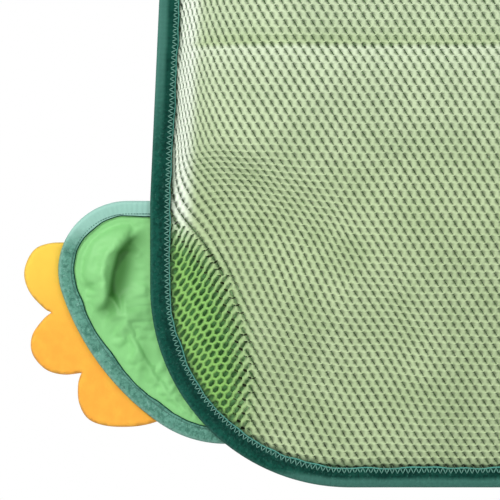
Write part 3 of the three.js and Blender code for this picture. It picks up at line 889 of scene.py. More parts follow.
@dataclass(frozen=True)
class Foam(Finish):
    """Thin sponge foam with open cells."""

    cell_scale: float = 900.0

    def cover(self, paint: Paint) -> None:
        """Adds the cells, with painted shade in their hollows."""
        values = {"Vector": paint.object_place, "Scale": self.cell_scale}
        cells = paint.node("ShaderNodeTexVoronoi", {}, values)
        hole = Num(paint, cells.outputs["Distance"]).between(0.1, 0.6)
        # Painted shade: darker in the hollow middle of each open cell.
        paint.base(paint.blend(hole, self.darker(0.7), self.colour))
        paint.rough(0.95)
        paint.relief((hole, 0.3 * MM))


@dataclass(frozen=True)
class Nickel(Finish):
    """Nickel plate with fine rub marks."""

    dull: Colour = (0.36, 0.35, 0.33)
    cloud_scale: float = 120.0
    rub_scale: float = 500.0
    grain_scale: float = 1800.0
    roughness: Pair = (0.14, 0.3)

    def cover(self, paint: Paint) -> None:
        """Adds dull clouds, rub marks and grain."""
        paint.base(paint.blend(paint.noise(self.cloud_scale, 3.0).between(0.3, 0.7), self.colour, self.dull))
        paint.fixed(Metallic=1.0)
        paint.rough(mix(*self.roughness, paint.noise(self.rub_scale, 4.0)))
        paint.relief((paint.noise(self.grain_scale), 0.01 * MM))


@dataclass(frozen=True)
class ClearPlastic(Finish):
    """Clear plastic with faint flow marks and handling marks."""

    roughness: float
    haze_scale: float = 70.0
    haze_roughness: float = 0.12
    flow_scale: float = 40.0

    def cover(self, paint: Paint) -> None:
        """Adds haze and flow marks."""
        haze = paint.noise(self.haze_scale, 4.0).between(0.4, 0.8)
        paint.base(paint.blend(haze * 0.5, self.colour, self.darker(0.94)))
        paint.rough(mix(self.roughness, self.roughness + self.haze_roughness, haze))
        paint.fixed(Transmission_Weight=0.85, IOR=1.49)
        paint.relief((paint.noise(self.flow_scale, 1.0), 0.15 * MM))


class Slot(Enum):
    """The record's material slots."""

    GREEN = "green_cloth"
    DARK_TAPE = "dark_tape"
    PALE_TAPE = "pale_tape"
    NET = "net"
    ORANGE = "orange_felt"
    WHITE = "white_felt"
    DARK_FELT = "dark_felt"
    THREAD = "thread"
    FOAM = "foam"
    WEBBING = "webbing"
    NICKEL = "nickel"
    VINYL = "clear_vinyl"
    PLASTIC = "clear_plastic"


class Wardrobe:
    """Every finish of the organizer, made once."""

    def __init__(self) -> None:
        """Makes the materials."""
        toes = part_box("left_toes")
        self.green = SatinCloth(
            "green_satin", (0.26, 0.63, 0.235), deep=(0.21, 0.56, 0.185), shaded=(0.02, 0.13, 0.01),
            lit=(0.46, 0.70, 0.36),
        ).made()
        self.dark_tape = WovenTape(
            "dark_tape", (0.004, 0.085, 0.058), deep=(0.0, 0.03, 0.022), pale=(0.055, 0.18, 0.145),
            edge=(0.10, 0.36, 0.30), smooth_from=HEM + 140.0 * MM, smooth_over=60.0 * MM,
            smooth_width=4.0 * MM, fold_at=9.0 * MM,
        ).made()
        self.pale_tape = WovenTape(
            "pale_tape", (0.14, 0.36, 0.28), deep=(0.03, 0.13, 0.09), pale=(0.34, 0.61, 0.53),
            edge=(0.004, 0.05, 0.03), smooth_from=HEM + 106.0 * MM, smooth_over=14.0 * MM,
            smooth_width=-1.0, fold_at=7.0 * MM,
        ).made()
        # The net's last three colours are painted: shade with green bounce light in the loose corners, light,
        # and the tape's shadow.
        self.net = NetYarn(
            "net_yarn", (0.50, 0.62, 0.36), deep=(0.38, 0.50, 0.26), slack_shade=(0.24, 0.50, 0.12),
            painted_light=(0.84, 0.93, 0.78), tape_shadow=(0.02, 0.07, 0.03),
        ).made()
        self.orange = Felt(
            "orange_felt", (0.96, 0.63, 0.08), low_colour=(0.96, 0.40, 0.05),
            low=mix(toes[0].z, toes[1].z, 0.4), high=toes[1].z,
        ).made()
        self.crest = Felt("crest_felt", (0.97, 0.52, 0.07), low_colour=(0.97, 0.5, 0.07)).made()
        self.white = Felt("white_felt", (0.86, 0.86, 0.83)).made()
        self.dark_felt = Felt("dark_felt", (0.014, 0.02, 0.02)).made()
        self.teal_thread = Thread("teal_thread", (0.16, 0.42, 0.34)).made()
        self.foot_thread = Thread("foot_thread", (0.03, 0.16, 0.12)).made()
        self.dark_thread = Thread("dark_thread", (0.01, 0.07, 0.05)).made()
        self.white_thread = Thread("white_thread", (0.8, 0.8, 0.77)).made()
        self.foam = Foam("sponge_foam", (0.88, 0.87, 0.82)).made()
        self.webbing = Webbing("green_webbing", (0.03, 0.21, 0.13), deep=(0.01, 0.10, 0.06)).made()
        self.nickel = Nickel("nickel_plate", (0.52, 0.52, 0.51)).made()
        self.vinyl = ClearPlastic("clear_vinyl", (0.86, 0.92, 0.93), roughness=0.16).made()
        self.plastic = ClearPlastic("clear_plastic", (0.86, 0.92, 0.93), roughness=0.07).made()


def dress(piece: Piece, material: Material) -> Piece:
    """Gives a piece its one material."""
    piece.data.materials.clear()
    piece.data.materials.append(material)
    return piece


def rides(piece: Piece, body: str, *nodes: str) -> Piece:
    """Lets a piece ride with a body and hides the nodes that it stands for."""
    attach(piece, body)
    if nodes:
        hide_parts(*nodes)
    return piece


def layer(node: str) -> Pair:
    """The middle of a CAD node along Y, and its thickness."""
    low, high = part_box(node)
    return (low.y + high.y) / 2.0, high.y - low.y


# Trees that repeat something along a line or over a surface


class Pattern(Tree):
    """A Geometry Nodes tree with named inputs."""

    def __init__(self, name: str, inputs: dict[str, str]) -> None:
        """Makes the tree's sockets.

        Args:
            name: the tree's name.
            inputs: the socket type of each input, by name.
        """
        super().__init__(bpy.data.node_groups.new(name, "GeometryNodeTree"))
        face = self.nodes.interface
        face.new_socket(name="Geometry", in_out="INPUT", socket_type="NodeSocketGeometry")
        face.new_socket(name="Geometry", in_out="OUTPUT", socket_type="NodeSocketGeometry")
        self.keys = {
            key: face.new_socket(name=key, in_out="INPUT", socket_type=kind).identifier
            for key, kind in inputs.items()
        }
        self.entry = self.node("NodeGroupInput")
        self.exit = self.node("NodeGroupOutput")
        self.start = self.entry.outputs["Geometry"]

    def given(self, name: str) -> Socket:
        """The socket of an input."""
        return self.entry.outputs[name]

    def number(self, name: str) -> Num:
        """An input as a number."""
        return Num(self, self.given(name))

    def named(self, name: str, kind: str) -> Socket:
        """A named attribute of the geometry."""
        node = self.node("GeometryNodeInputNamedAttribute", {"data_type": kind}, {"Name": name})
        return node.outputs["Attribute"]

    def moved(self, geometry: Any, offset: Any, selection: Any = True) -> Socket:
        """The geometry with its points moved by an offset."""
        values = {"Geometry": geometry, "Offset": offset, "Selection": selection}
        return self.first("GeometryNodeSetPosition", {}, values)

    def kept(self, geometry: Any, domain: str, kind: str, name: str, value: Any) -> Socket:
        """The geometry with one more named attribute."""
        values = {"Geometry": geometry, "Name": name, "Value": value}
        node = self.node("GeometryNodeStoreNamedAttribute", {"data_type": kind, "domain": domain}, values)
        return node.outputs[0]

    def end(self, geometry: Any) -> None:
        """Closes the tree: real geometry, smooth, in the given material."""
        real = self.first("GeometryNodeRealizeInstances", {}, {"Geometry": geometry})
        shaded = self.first("GeometryNodeSetShadeSmooth", {}, {"Geometry": real})
        values = {"Geometry": shaded, "Material": self.given("Material")}
        painted = self.first("GeometryNodeSetMaterial", {}, values)
        self.feed(self.exit.inputs[0], painted)

    def applied(self, piece: Piece, values: dict[str, Any]) -> Piece:
        """Puts the tree on a piece with those inputs and makes the result its plain mesh."""
        modifier = piece.modifiers.new(self.nodes.name, "NODES")
        modifier.node_group = self.nodes
        for name, value in values.items():
            modifier[self.keys[name]] = value
        return settled(piece)


class Sewing(Pattern):
    """Thread sewn along a guide line that keeps, at each corner, which way is across and which is out."""

    def __init__(self) -> None:
        """Builds the tree: even points, moved across and in or out of the cloth in turn, then a thread."""
        super().__init__("sewing", {
            "Pitch": "NodeSocketFloat", "Width": "NodeSocketFloat", "Lift": "NodeSocketFloat",
            "Thread": "NodeSocketFloat", "Material": "NodeSocketMaterial",
        })
        line = self.first("GeometryNodeMeshToCurve", {}, {"Mesh": self.start})
        quarter = self.number("Pitch") / 4.0
        values = {"Curve": line, "Length": quarter}
        spread = self.first("GeometryNodeResampleCurve", {"mode": "LENGTH"}, values)
        step = Num(self, self.first("GeometryNodeInputIndex"))
        across = (step * (math.pi / 2.0)).sum("SINE") * self.number("Width") * 0.5
        out = (1.0 - (step % 2.0) * 2.0) * self.number("Lift")
        sideways = self.vector("SCALE", self.named("across", "FLOAT_VECTOR"), across)
        lifted = self.vector("SCALE", self.named("out", "FLOAT_VECTOR"), out)
        sewn = self.moved(spread, self.vector("ADD", sideways, lifted))
        length = self.node("GeometryNodeSplineParameter").outputs["Length"]
        kept = self.kept(sewn, "POINT", "FLOAT", "along", length)
        round_thread = {"Resolution": 6, "Radius": self.number("Thread")}
        section = self.first("GeometryNodeCurvePrimitiveCircle", {}, round_thread)
        values = {"Curve": kept, "Profile Curve": section, "Fill Caps": True}
        self.end(self.first("GeometryNodeCurveToMesh", {}, values))


@dataclass(frozen=True)
class Seam:
    """How a line of stitches is sewn. A width of 0 makes a straight line of stitches."""

    pitch: float
    width: float
    lift: float = 0.25 * MM
    thread: float = 0.24 * MM


class Sewer:
    """Sews lines of thread, each one piece."""

    def __init__(self) -> None:
        """Builds the tree once."""
        self.tree = Sewing()

    def line(
        self, name: str, points: Array, across: Array, out: Array, closed: bool, seam: Seam,
        material: Material,
    ) -> Piece:
        """Sews along points of the frame.

        Args:
            name: the piece's name.
            points: the seam's line.
            across: which way the needle moves sideways, one vector a point.
            out: which way leaves the cloth, one vector or one a point.
            closed: whether the line meets itself.
            seam: how it is sewn.
            material: the thread's finish.

        Returns:
            The thread as a piece.
        """
        count = len(points)
        edges = [(i, (i + 1) % count) for i in range(count if closed else count - 1)]
        guide = mesh_object(name, points, [], edges)
        store(guide, "across", across)
        store(guide, "out", np.broadcast_to(out, points.shape))
        sewn = self.tree.applied(guide, {
            "Pitch": seam.pitch, "Width": seam.width, "Lift": seam.lift, "Thread": seam.thread,
            "Material": material,
        })
        return sewn

    def tape(
        self, name: str, path: Array, closed: bool, tape: "Tape", seam: Seam, material: Material
    ) -> list[Piece]:
        """Sews a folded tape down near the edge of both its legs.

        Args:
            name: the threads' name, before their side.
            path: the outline that the tape is folded over.
            closed: whether it meets itself.
            tape: the tape.
            seam: how it is sewn.
            material: the thread's finish.

        Returns:
            The thread on the user's side and the one on the wall's side.
        """
        line = even(drawn_in(even(path, STEP, closed), tape.width - tape.sewn, closed), STEP, closed)
        across = upright(outward(line, closed))
        sides = (("front", tape.front + tape.sunk, USER), ("back", tape.back - tape.sunk, -USER))
        return [
            self.line(f"{name}_{side}", placed(line, y), across, out, closed, seam, material)
            for side, y, out in sides
        ]


class Knitting(Pattern):
    """A knitted net of six-sided holes, laid on a guide surface through the surface's UV map."""

    UNEVEN_SCALE = 130.0
    UNEVEN_SHARE = 0.6
    SLACK_FROM = 0.3
    WELD = 0.004 * MM

    def __init__(self) -> None:
        """Builds the tree: shifted rows, their dual as cells, a hole in each, then the laid yarn."""
        super().__init__("knitting", {
            "Surface": "NodeSocketObject", "Span": "NodeSocketFloat", "Pitch": "NodeSocketFloat",
            "Row": "NodeSocketFloat", "Hole": "NodeSocketFloat", "Pull": "NodeSocketFloat",
            "Slack Hole": "NodeSocketFloat", "Slack Pull": "NodeSocketFloat", "Yarn": "NodeSocketFloat",
            "Columns": "NodeSocketInt", "Rows": "NodeSocketInt", "Material": "NodeSocketMaterial",
        })
        self.end(self.yarn(self.holed(self.cells())))

    def cells(self) -> Socket:
        """Six-sided cells in the plane of the flat net, those alone that lie on the surface's good part."""
        pitch, row = self.number("Pitch"), self.number("Row")
        columns, rows = self.number("Columns"), self.number("Rows")
        grid = self.node("GeometryNodeMeshGrid", {}, {
            "Size X": (columns - 1.0) * pitch, "Size Y": (rows - 1.0) * row,
            "Vertices X": columns, "Vertices Y": rows,
        }).outputs["Mesh"]
        number = Num(self, self.first("GeometryNodeInputIndex")) % rows
        shift = (number % 2.0 - 0.5) * pitch * 0.5
        shifted = self.moved(grid, self.joined(shift, 0.0, 0.0))
        split = self.node("GeometryNodeTriangulate", {"quad_method": "SHORTEST_DIAGONAL"}, {"Mesh": shifted})
        cells = self.first("GeometryNodeDualMesh", {}, {"Mesh": split.outputs[0]})
        good = self.sampled("FLOAT", self.named("good", "FLOAT"))
        inside = self.first("FunctionNodeCompare", {"operation": "GREATER_THAN"}, {0: good, 1: 0.5})
        marked = self.kept(cells, "POINT", "BOOLEAN", "inside", inside)
        values = {"Geometry": marked, "Selection": self.negated(self.named("inside", "BOOLEAN"))}
        return self.first("GeometryNodeDeleteGeometry", {"domain": "FACE"}, values)

    def negated(self, value: Any) -> Socket:
        """Whether a value is false."""
        return self.first("FunctionNodeBooleanMath", {"operation": "NOT"}, {0: value})

    def sampled(self, kind: str, value: Any) -> Socket:
        """What the surface has where a corner of the flat net comes to lie."""
        info = self.node("GeometryNodeObjectInfo", {}, {"Object": self.given("Surface")})
        flat = self.first("GeometryNodeInputPosition")
        share = self.vector("SCALE", flat, 1.0 / self.number("Span"))
        node = self.node("GeometryNodeSampleUVSurface", {"data_type": kind}, {
            "Mesh": info.outputs["Geometry"], "Value": value, "UV Map": self.named("UVMap", "FLOAT_VECTOR"),
            "Sample UV": self.vector("ADD", share, (0.5, 0.5, 0.0)),
        })
        return node.outputs["Value"]

    def holed(self, cells: Any) -> Socket:
        """A hole in every cell: a slit along one diagonal where the net is tight, rounder where it is slack.

        The corners of the holes have the attribute hole.
        """
        # The mask of the loose low corners, where the yarn's finish also paints shade.
        slack_shade, _, _ = self.parts(self.sampled("FLOAT_VECTOR", self.named("tone", "FLOAT_VECTOR")))
        flat = self.first("GeometryNodeInputPosition")
        uneven = Num(self, self.first("ShaderNodeTexNoise", {}, {"Vector": flat, "Scale": self.UNEVEN_SCALE}))
        uneven = uneven * self.UNEVEN_SHARE + (1.0 - self.UNEVEN_SHARE / 2.0)
        hole = mix(self.number("Hole"), self.number("Slack Hole"), slack_shade) * uneven
        pull = mix(self.number("Pull"), self.number("Slack Pull"), slack_shade)
        raised = self.node("GeometryNodeExtrudeMesh", {"mode": "FACES"}, {
            "Mesh": cells, "Offset Scale": 0.0, "Individual": True,
        })
        top = raised.outputs["Top"]
        shrunk = self.first("GeometryNodeScaleElements", {"domain": "FACE"}, {
            "Geometry": raised.outputs["Mesh"], "Selection": top, "Scale": hole,
        })
        row, half = self.number("Row"), self.number("Pitch") * 0.5
        pulled = self.first("GeometryNodeScaleElements", {"domain": "FACE", "scale_mode": "SINGLE_AXIS"}, {
            "Geometry": shrunk, "Selection": top, "Scale": pull,
            "Axis": self.joined(half, row * (slack_shade.sum("GREATER_THAN", self.SLACK_FROM) * 2.0 - 1.0), 0.0),
        })
        return self.first("GeometryNodeDeleteGeometry", {"domain": "FACE", "mode": "ONLY_FACE"}, {
            "Geometry": self.kept(pulled, "POINT", "BOOLEAN", "hole", top), "Selection": top,
        })

    def yarn(self, net: Any) -> Socket:
        """The net laid on the surface, thick in the middle of each strand, and closed along its cut edge."""
        spot = self.sampled("FLOAT_VECTOR", self.first("GeometryNodeInputPosition"))
        rise = self.sampled("FLOAT_VECTOR", self.first("GeometryNodeInputNormal"))
        half = self.vector("SCALE", rise, self.number("Yarn") * 0.5)
        tone = self.sampled("FLOAT_VECTOR", self.named("tone", "FLOAT_VECTOR"))
        toned = self.kept(net, "POINT", "FLOAT_VECTOR", "tone", tone)
        known = self.kept(toned, "POINT", "FLOAT_VECTOR", "half", half)
        laid = self.first("GeometryNodeSetPosition", {}, {"Geometry": known, "Position": spot})
        ridge = self.negated(self.named("hole", "BOOLEAN"))
        lift = self.named("half", "FLOAT_VECTOR")
        front = self.moved(laid, lift, ridge)
        sunk = self.moved(laid, self.vector("SCALE", lift, -1.0), ridge)
        back = self.first("GeometryNodeFlipFaces", {}, {"Mesh": sunk})
        count = self.node("GeometryNodeInputMeshEdgeNeighbors").outputs["Face Count"]
        end = self.first("FunctionNodeCompare", {"operation": "LESS_EQUAL"}, {0: count, 1: 1.0})
        cut = self.first("FunctionNodeBooleanMath", {"operation": "AND"}, {0: end, 1: ridge})
        wall = self.node("GeometryNodeExtrudeMesh", {"mode": "EDGES"}, {
            "Mesh": front, "Selection": cut, "Offset Scale": 0.0,
        })
        walled = self.moved(wall.outputs["Mesh"], self.vector("SCALE", lift, -2.0), wall.outputs["Top"])
        both = self.node("GeometryNodeJoinGeometry")
        self.feed(both.inputs[0], back)
        self.feed(both.inputs[0], walled)
        values = {"Geometry": both.outputs[0], "Distance": self.WELD}
        return self.first("GeometryNodeMergeByDistance", {}, values)


# What cloth does


@dataclass(frozen=True)
class Sag:
    """Slow unevenness of a cloth, which fades out from a far to a near distance of where it is held."""

    seed: int
    height: float
    length: float
    near: float
    far: float

    def rise(self, places: Array, edge: Array) -> Array:
        """How far the cloth stands out at (x, height) places, each so far from where it is held."""
        return self.height * Ripple(self.seed, self.length)(places) * smooth(edge, self.near, self.far)


@dataclass(frozen=True)
class Puff:
    """How the cloth of a padded piece is blown up by simulation.

    The rise is what its highest place ends up over its edge, and growth is the spare cloth as a share of its
    length.
    """

    rise: float
    growth: float = 0.03
    pressure: float = 3.0
    frames: int = 20
    quality: int = 8
    mass: float = 0.02
    stretch: float = 12.0
    shear: float = 4.0
    bending: float = 0.12
    first_share: float = 0.35
    first_run: float = 12.0 * MM
    quick_run: float = 16.0 * MM
    top_share: float = 0.995

    def heights(self, outline: Array, held: float, spacing: float) -> tuple[Array, list, Array]:
        """Blows up a flat cloth that is held along its edge.

        Args:
            outline: the cloth's outline.
            held: how wide a strip along the edge stays still.
            spacing: how fine the cloth is cut.

        Returns:
            The (x, height) corners, the faces, and how far each corner has risen.
        """
        places, faces = flat_mesh(outline, spacing)
        edge = line_distance(places, even(outline, spacing, True), True)
        start = self.rise * self.first_share * smooth(edge, held, held + self.first_run)
        cloth = mesh_object("cloth_trial", placed(places, -start), faces)
        group = cloth.vertex_groups.new(name="held")
        for index in np.flatnonzero(edge <= held + 0.2 * MM):
            group.add([int(index)], 1.0, "REPLACE")
        modifier = cloth.modifiers.new("Cloth", "CLOTH")
        settings = modifier.settings
        settings.quality = self.quality
        settings.mass = self.mass
        settings.tension_stiffness = settings.compression_stiffness = self.stretch
        settings.shear_stiffness = self.shear
        settings.bending_stiffness = self.bending
        settings.vertex_group_mass = "held"
        settings.use_pressure = True
        settings.uniform_pressure_force = self.pressure
        settings.shrink_min = settings.shrink_max = -self.growth
        settings.effector_weights.gravity = 0.0
        modifier.collision_settings.use_collision = False
        for number in range(1, self.frames + 1):
            bpy.context.scene.frame_set(number)
        blown = corners_of(settled(cloth))
        bpy.context.scene.frame_set(1)
        bpy.data.objects.remove(cloth)
        rise = -blown[:, 1]
        rise *= self.rise / max(float(np.quantile(rise, self.top_share)), 1e-6)
        return places, faces, rise


def thick_cloth(
    name: str, places: Array, faces: Sequence, y: Array, thickness: float, fine: int = 1
) -> Piece:
    """A cloth with two faces and a rim, smoothed.

    Args:
        name: the piece's name.
        places: the (x, height) corners.
        faces: the faces, facing the user.
        y: where each corner is, at the middle of the cloth.
        thickness: from face to face.
        fine: how many times the mesh is refined.

    Returns:
        The piece.
    """
    piece = mesh_object(name, placed(places, y), faces)
    if fine:
        refined = piece.modifiers.new("fine", "SUBSURF")
        refined.levels = refined.render_levels = fine
        refined.boundary_smooth = "PRESERVE_CORNERS"
    wall = piece.modifiers.new("wall", "SOLIDIFY")
    wall.thickness = thickness
    wall.offset = 0.0
    return outwards(settled(piece))


def soft_plate(
    name: str, outline: Array, y: float, thickness: float, spacing: float, round_edge: float,
    fuzz: float = 0.0, bend: Optional[Height] = None, hole: Optional[Array] = None,
) -> Piece:
    """A piece cut from felt: two faces, edges rounded over, and a slightly uneven surface.

    Args:
        name: the piece's name.
        outline: its closed outline.
        y: the middle of the sheet.
        thickness: from face to face.
        spacing: how fine it is cut.
        round_edge: how far in its edge is rounded.
        fuzz: how uneven its faces are.
        bend: moves the sheet along Y by a value at each (x, height) place.
        hole: the outline of a hole in it.

    Returns:
        The piece.
    """
    places, faces = flat_mesh(outline, spacing, hole)
    rim = line_distance(places, even(outline, spacing, True), True)
    if hole is not None:
        rim = np.minimum(rim, line_distance(places, even(hole, spacing, True), True))
    edge = np.clip(rim / round_edge, 0.0, 1.0)
    half = thickness / 2.0 * np.sqrt(1.0 - (1.0 - edge) ** 2)
    rough = fuzz * Ripple(11, 5.0 * MM)(places) * smooth(edge, 0.0, 1.0)
    middle = y + (bend(places) if bend else 0.0)
    return two_faced(name, places, faces, middle - half - rough, middle + half + rough)


class Surface:
    """The user's side of a piece, to seat other pieces on."""

    def __init__(self, piece: Piece) -> None:
        """Keeps the piece's faces for looking up."""
        mesh = piece.data
        self.tree = BVHTree.FromPolygons([v.co for v in mesh.vertices], [p.vertices for p in mesh.polygons])

    def y(self, places: Array, otherwise: float) -> Array:
        """Where the piece's front is behind each (x, height) place.

        Args:
            places: where to look.
            otherwise: the value where there is nothing.

        Returns:
            One y for each place.
        """
        found = []
        for x, height in places:
            hit = self.tree.ray_cast(Vector((x, -0.5, height + HEM)), Vector((0.0, 1.0, 0.0)))[0]
            found.append(hit.y if hit else otherwise)
        return np.array(found)


# Folded tape


@dataclass(frozen=True)
class Tape:
    """A tape folded over an edge, seen as two legs and a round fold between them."""

    width: float
    front: float
    back: float
    thickness: float = 0.55 * MM
    pinch: float = 0.5 * MM
    sewn: float = 1.5 * MM
    sunk: float = 0.35 * MM
    leg_gap: float = 0.4 * MM
    leg_corners: int = 7
    fold_corners: int = 13
    wave_length: float = 26.0 * MM
    wave_width: float = 0.035
    wave_level: float = 0.10 * MM
    jitter_length: float = 9.0 * MM
    jitter_width: float = 0.02
    jitter_level: float = 0.06 * MM

    def section(self) -> tuple[Array, Array]:
        """The tape in section, as (inwards, y) corners, and each corner's place round it."""
        middle, reach = (self.front + self.back) / 2.0, (self.back - self.front) / 2.0

        def shell(inset: float) -> Array:
            """The line that lies inset inside the tape's outer face, from the front leg to the back leg."""
            radius = reach - inset
            angles = np.linspace(np.pi / 2.0, -np.pi / 2.0, self.fold_corners)
            fold = np.stack([reach - radius * np.cos(angles), middle - radius * np.sin(angles)], axis=1)
            legs = np.linspace(self.width, reach + self.leg_gap, self.leg_corners)
            pressed = self.pinch * smooth(legs, reach, self.width)
            front = np.stack([legs, middle - radius + pressed], axis=1)
            back = np.stack([legs, middle + radius - pressed], axis=1)[::-1]
            return np.vstack([front, fold, back])

        loop = np.vstack([shell(0.0), shell(self.thickness)[::-1]])
        return loop, lengths_along(loop)

    def folded(
        self, name: str, fold: Array, inwards: Array, across: Array, closed: bool, seed: int
    ) -> Piece:
        """Folds the tape over a line in space.

        Args:
            name: the piece's name.
            fold: points of the outermost line of the fold, at y = 0 of the tape's section.
            inwards: from each point, the way along the legs.
            across: from each point, the way from the front leg to the back leg.
            closed: whether the line meets itself.
            seed: picks its unevenness.

        Returns:
            The piece.
        """
        section, around = self.section()
        along = lengths_along(fold)
        flat = fold[:, [0, 2]]
        wavy, uneven = Ripple(seed, self.wave_length), Ripple(seed + 1, self.jitter_length)
        wide = 1.0 + self.wave_width * wavy(flat) + self.jitter_width * uneven(flat)
        shift = self.wave_level * wavy(flat + 0.5) + self.jitter_level * uneven(flat + 0.3)
        deep = section[:, 0][None, :, None] * wide[:, None, None]
        level = (section[:, 1][None, :] + shift[:, None])[..., None]
        rings = fold[:, None] + inwards[:, None] * deep + across[:, None] * level
        return swept(name, rings, closed, along, around)

    def made(self, name: str, path: Array, closed: bool, seed: int) -> Piece:
        """Folds the tape over an outline, with its legs in the outline's plane.

        Args:
            name: the piece's name.
            path: the outline of the fold.
            closed: whether it meets itself.
            seed: picks its unevenness.

        Returns:
            The piece.
        """
        line = even(path, STEP, closed)
        inwards = upright(-outward(line, closed))
        across = np.broadcast_to(-USER, inwards.shape)
        return self.folded(name, placed(line, 0.0), inwards, across, closed, seed)


def declare_cloth(
    outline: Array, hole: float = 0.0
) -> None:
    """Works out the area of a sheet cut to an outline, less the area of a hole, and does nothing with it."""
    area = area_of(outline) - hole


def declare_tape(tape: Tape, path: Array) -> None:
    """Works out the length and the flat width of a folded tape, and does nothing with them."""
    length = float(np.linalg.norm(np.diff(path, axis=0), axis=1).sum())
    wide = 2.0 * tape.width + (np.pi / 2.0 - 1.0) * (tape.back - tape.front)


# The body


@dataclass
class Body:
    """The cloth back, the net pocket, the tape round both and the tape over the mouth."""

    half_width: float = 176.0 * MM
    corner: float = 90.0 * MM
    lean_height: float = 130.0 * MM
    lean: float = math.radians(2.6)
    mouth: float = 268.0 * MM
    shoulder: float = 37.0 * MM
    tape_width: float = 9.2 * MM
    under_tape: float = 1.6 * MM
    net_depth: float = 42.0 * MM
    mouth_tape: float = 9.5 * MM
    mouth_tape_end: float = 9.8 * MM
    mouth_room: float = 1.6 * MM
    net_pitch: float = 4.05 * MM
    net_row: float = 3.31 * MM
    net_yarn: float = 0.6 * MM
    net_start: float = 0.8 * MM
    above_mouth: float = 60.0 * MM
    guide_step: float = 1.5 * MM
    hole: float = 0.1
    pull: float = 8.4
    slack_hole: float = 0.5
    slack_pull: float = 1.3
    net_uneven: float = 1.12
    side_runs_mm: Pair = (30.0, 12.0)
    mouth_run: float = 25.0 * MM
    full_height: float = 170.0 * MM
    low_fill: float = 0.42
    gather_inset: float = 40.0 * MM
    gather_height: float = 62.0 * MM
    gather_run: float = 75.0 * MM
    gather_reach: Pair = (45.0 * MM, 95.0 * MM)
    slack_edge_mm: tuple = (
        (-167.9, 117.0), (-155.7, 107.1), (-146.7, 95.9), (-140.9, 82.4), (-136.4, 66.6), (-134.1, 48.6),
        (-135.5, 30.6), (-139.1, 10.0),
    )
    slack_blend: Pair = (-10.0 * MM, 9.0 * MM)
    crease_height: float = 197.5 * MM
    crease_depth: float = 3.2 * MM
    crease_reach: float = 5.0 * MM
    crease_sway: float = 1.2 * MM
    crease_sway_length: float = 31.0 * MM
    crease_fade: Pair = (2.0 * MM, 26.0 * MM)
    crease_painted_shade: float = 0.3
    painted_light_reach: Pair = (5.0 * MM, 12.0 * MM)
    painted_light_heights: Pair = (96.0 * MM, 126.0 * MM)
    high_painted_light: float = 0.22
    high_painted_light_heights: Pair = (120.0 * MM, 200.0 * MM)
    tape_shadow_reach: Pair = (0.8 * MM, 1.9 * MM)
    net_sags: tuple[Sag, ...] = (
        Sag(5, 0.9 * MM, 95.0 * MM, 5.0 * MM, 60.0 * MM), Sag(6, 0.25 * MM, 24.0 * MM, 3.0 * MM, 20.0 * MM),
    )
    back_sags: tuple[Sag, ...] = (
        Sag(21, 1.3 * MM, 70.0 * MM, 8.0 * MM, 40.0 * MM), Sag(22, 0.5 * MM, 28.0 * MM, 8.0 * MM, 40.0 * MM),
    )
    still_top: Pair = (30.0 * MM, 12.0 * MM)
    back_spacing: float = 5.5 * MM
    back_cloth: float = 0.6 * MM
    back_shade: float = 0.8
    zigzag: Seam = Seam(2.4 * MM, 2.6 * MM)

    def half_width_at(self, height: Any) -> Any:
        """Half the body's width at a height over its low corners."""
        return self.half_width - np.maximum(0.0, height - self.lean_height) * math.tan(self.lean)

    def low_corner(self) -> Array:
        """The rounded low right corner, and where the side above it begins to lean."""
        corner = arc((self.half_width - self.corner, self.corner), self.corner, -np.pi / 2.0, 0.0, 40)
        return np.vstack([corner, [[self.half_width, self.lean_height]]])

    def outline(self) -> Array:
        """The edge of the body."""
        shoulder_x = self.half_width_at(self.mouth) - self.shoulder
        shoulder = arc((shoulder_x, self.mouth), self.shoulder, 0.0, np.pi / 2.0)
        right = np.vstack([self.low_corner(), shoulder])
        return np.vstack([right, mirrored(right)])

    def side_and_hem(self) -> Array:
        """The body's edge where the net is sewn to it, run straight on above the mouth."""
        above = self.mouth + self.above_mouth
        right = np.vstack([self.low_corner(), [[self.half_width_at(above), above]]])
        return np.vstack([mirrored(right), right])

    def depth(self, places: Array) -> Array:
        """How far the net stands out from where it is sewn, at (x, height) places."""
        edge = line_distance(places, self.side_and_hem(), False)
        height = np.minimum(places[:, 1], self.mouth - self.mouth_tape)
        out = np.maximum(0.0, edge - self.tape_width - self.net_start)
        side = mix(*self.side_runs_mm, smooth(height, 0.0, self.lean_height)) * MM
        plain = mix(side, self.mouth_run, smooth(height, self.full_height, self.mouth - self.mouth_tape))
        gap = np.hypot(
            np.abs(places[:, 0]) - (self.half_width - self.gather_inset), height - self.gather_height
        )
        run = mix(self.gather_run, plain, smooth(gap, *self.gather_reach))
        fill = mix(self.low_fill, 1.0, smooth(height, 0.0, self.full_height))
        plain_depth = self.net_depth * fill * (1.0 - np.exp(-out / run))
        return np.maximum(0.0, plain_depth + self.folds(places, out))

    def folds(self, places: Array, out: Array) -> Array:
        """The crease across the net and its slow unevenness."""
        x, height = places[:, 0], places[:, 1]
        here = self.crease_height + self.crease_sway * np.sin(x / self.crease_sway_length)
        valley = np.exp(-np.abs(height - here) / self.crease_reach)
        crease = -self.crease_depth * valley * smooth(out, *self.crease_fade)
        low, high = (self.mouth - below for below in self.still_top)
        uneven = crease + sum(sag.rise(places, out) for sag in self.net_sags)
        return uneven * (1.0 - smooth(height, low, high))

    def tone(self, places: Array) -> Array:
        """At (x, height) places, each from 0 to 1: how loose the net hangs, which also sets its painted shade
        and green bounce light; its painted light; and the tape's painted shadow on it.
        """
        line = curved(np.array(self.slack_edge_mm), 6) * MM
        gap, side, _ = nearest(places * np.where(places[:, :1] > 0.0, (-1.0, 1.0), (1.0, 1.0)), line, False)
        out = line_distance(places, self.side_and_hem(), False) - self.tape_width
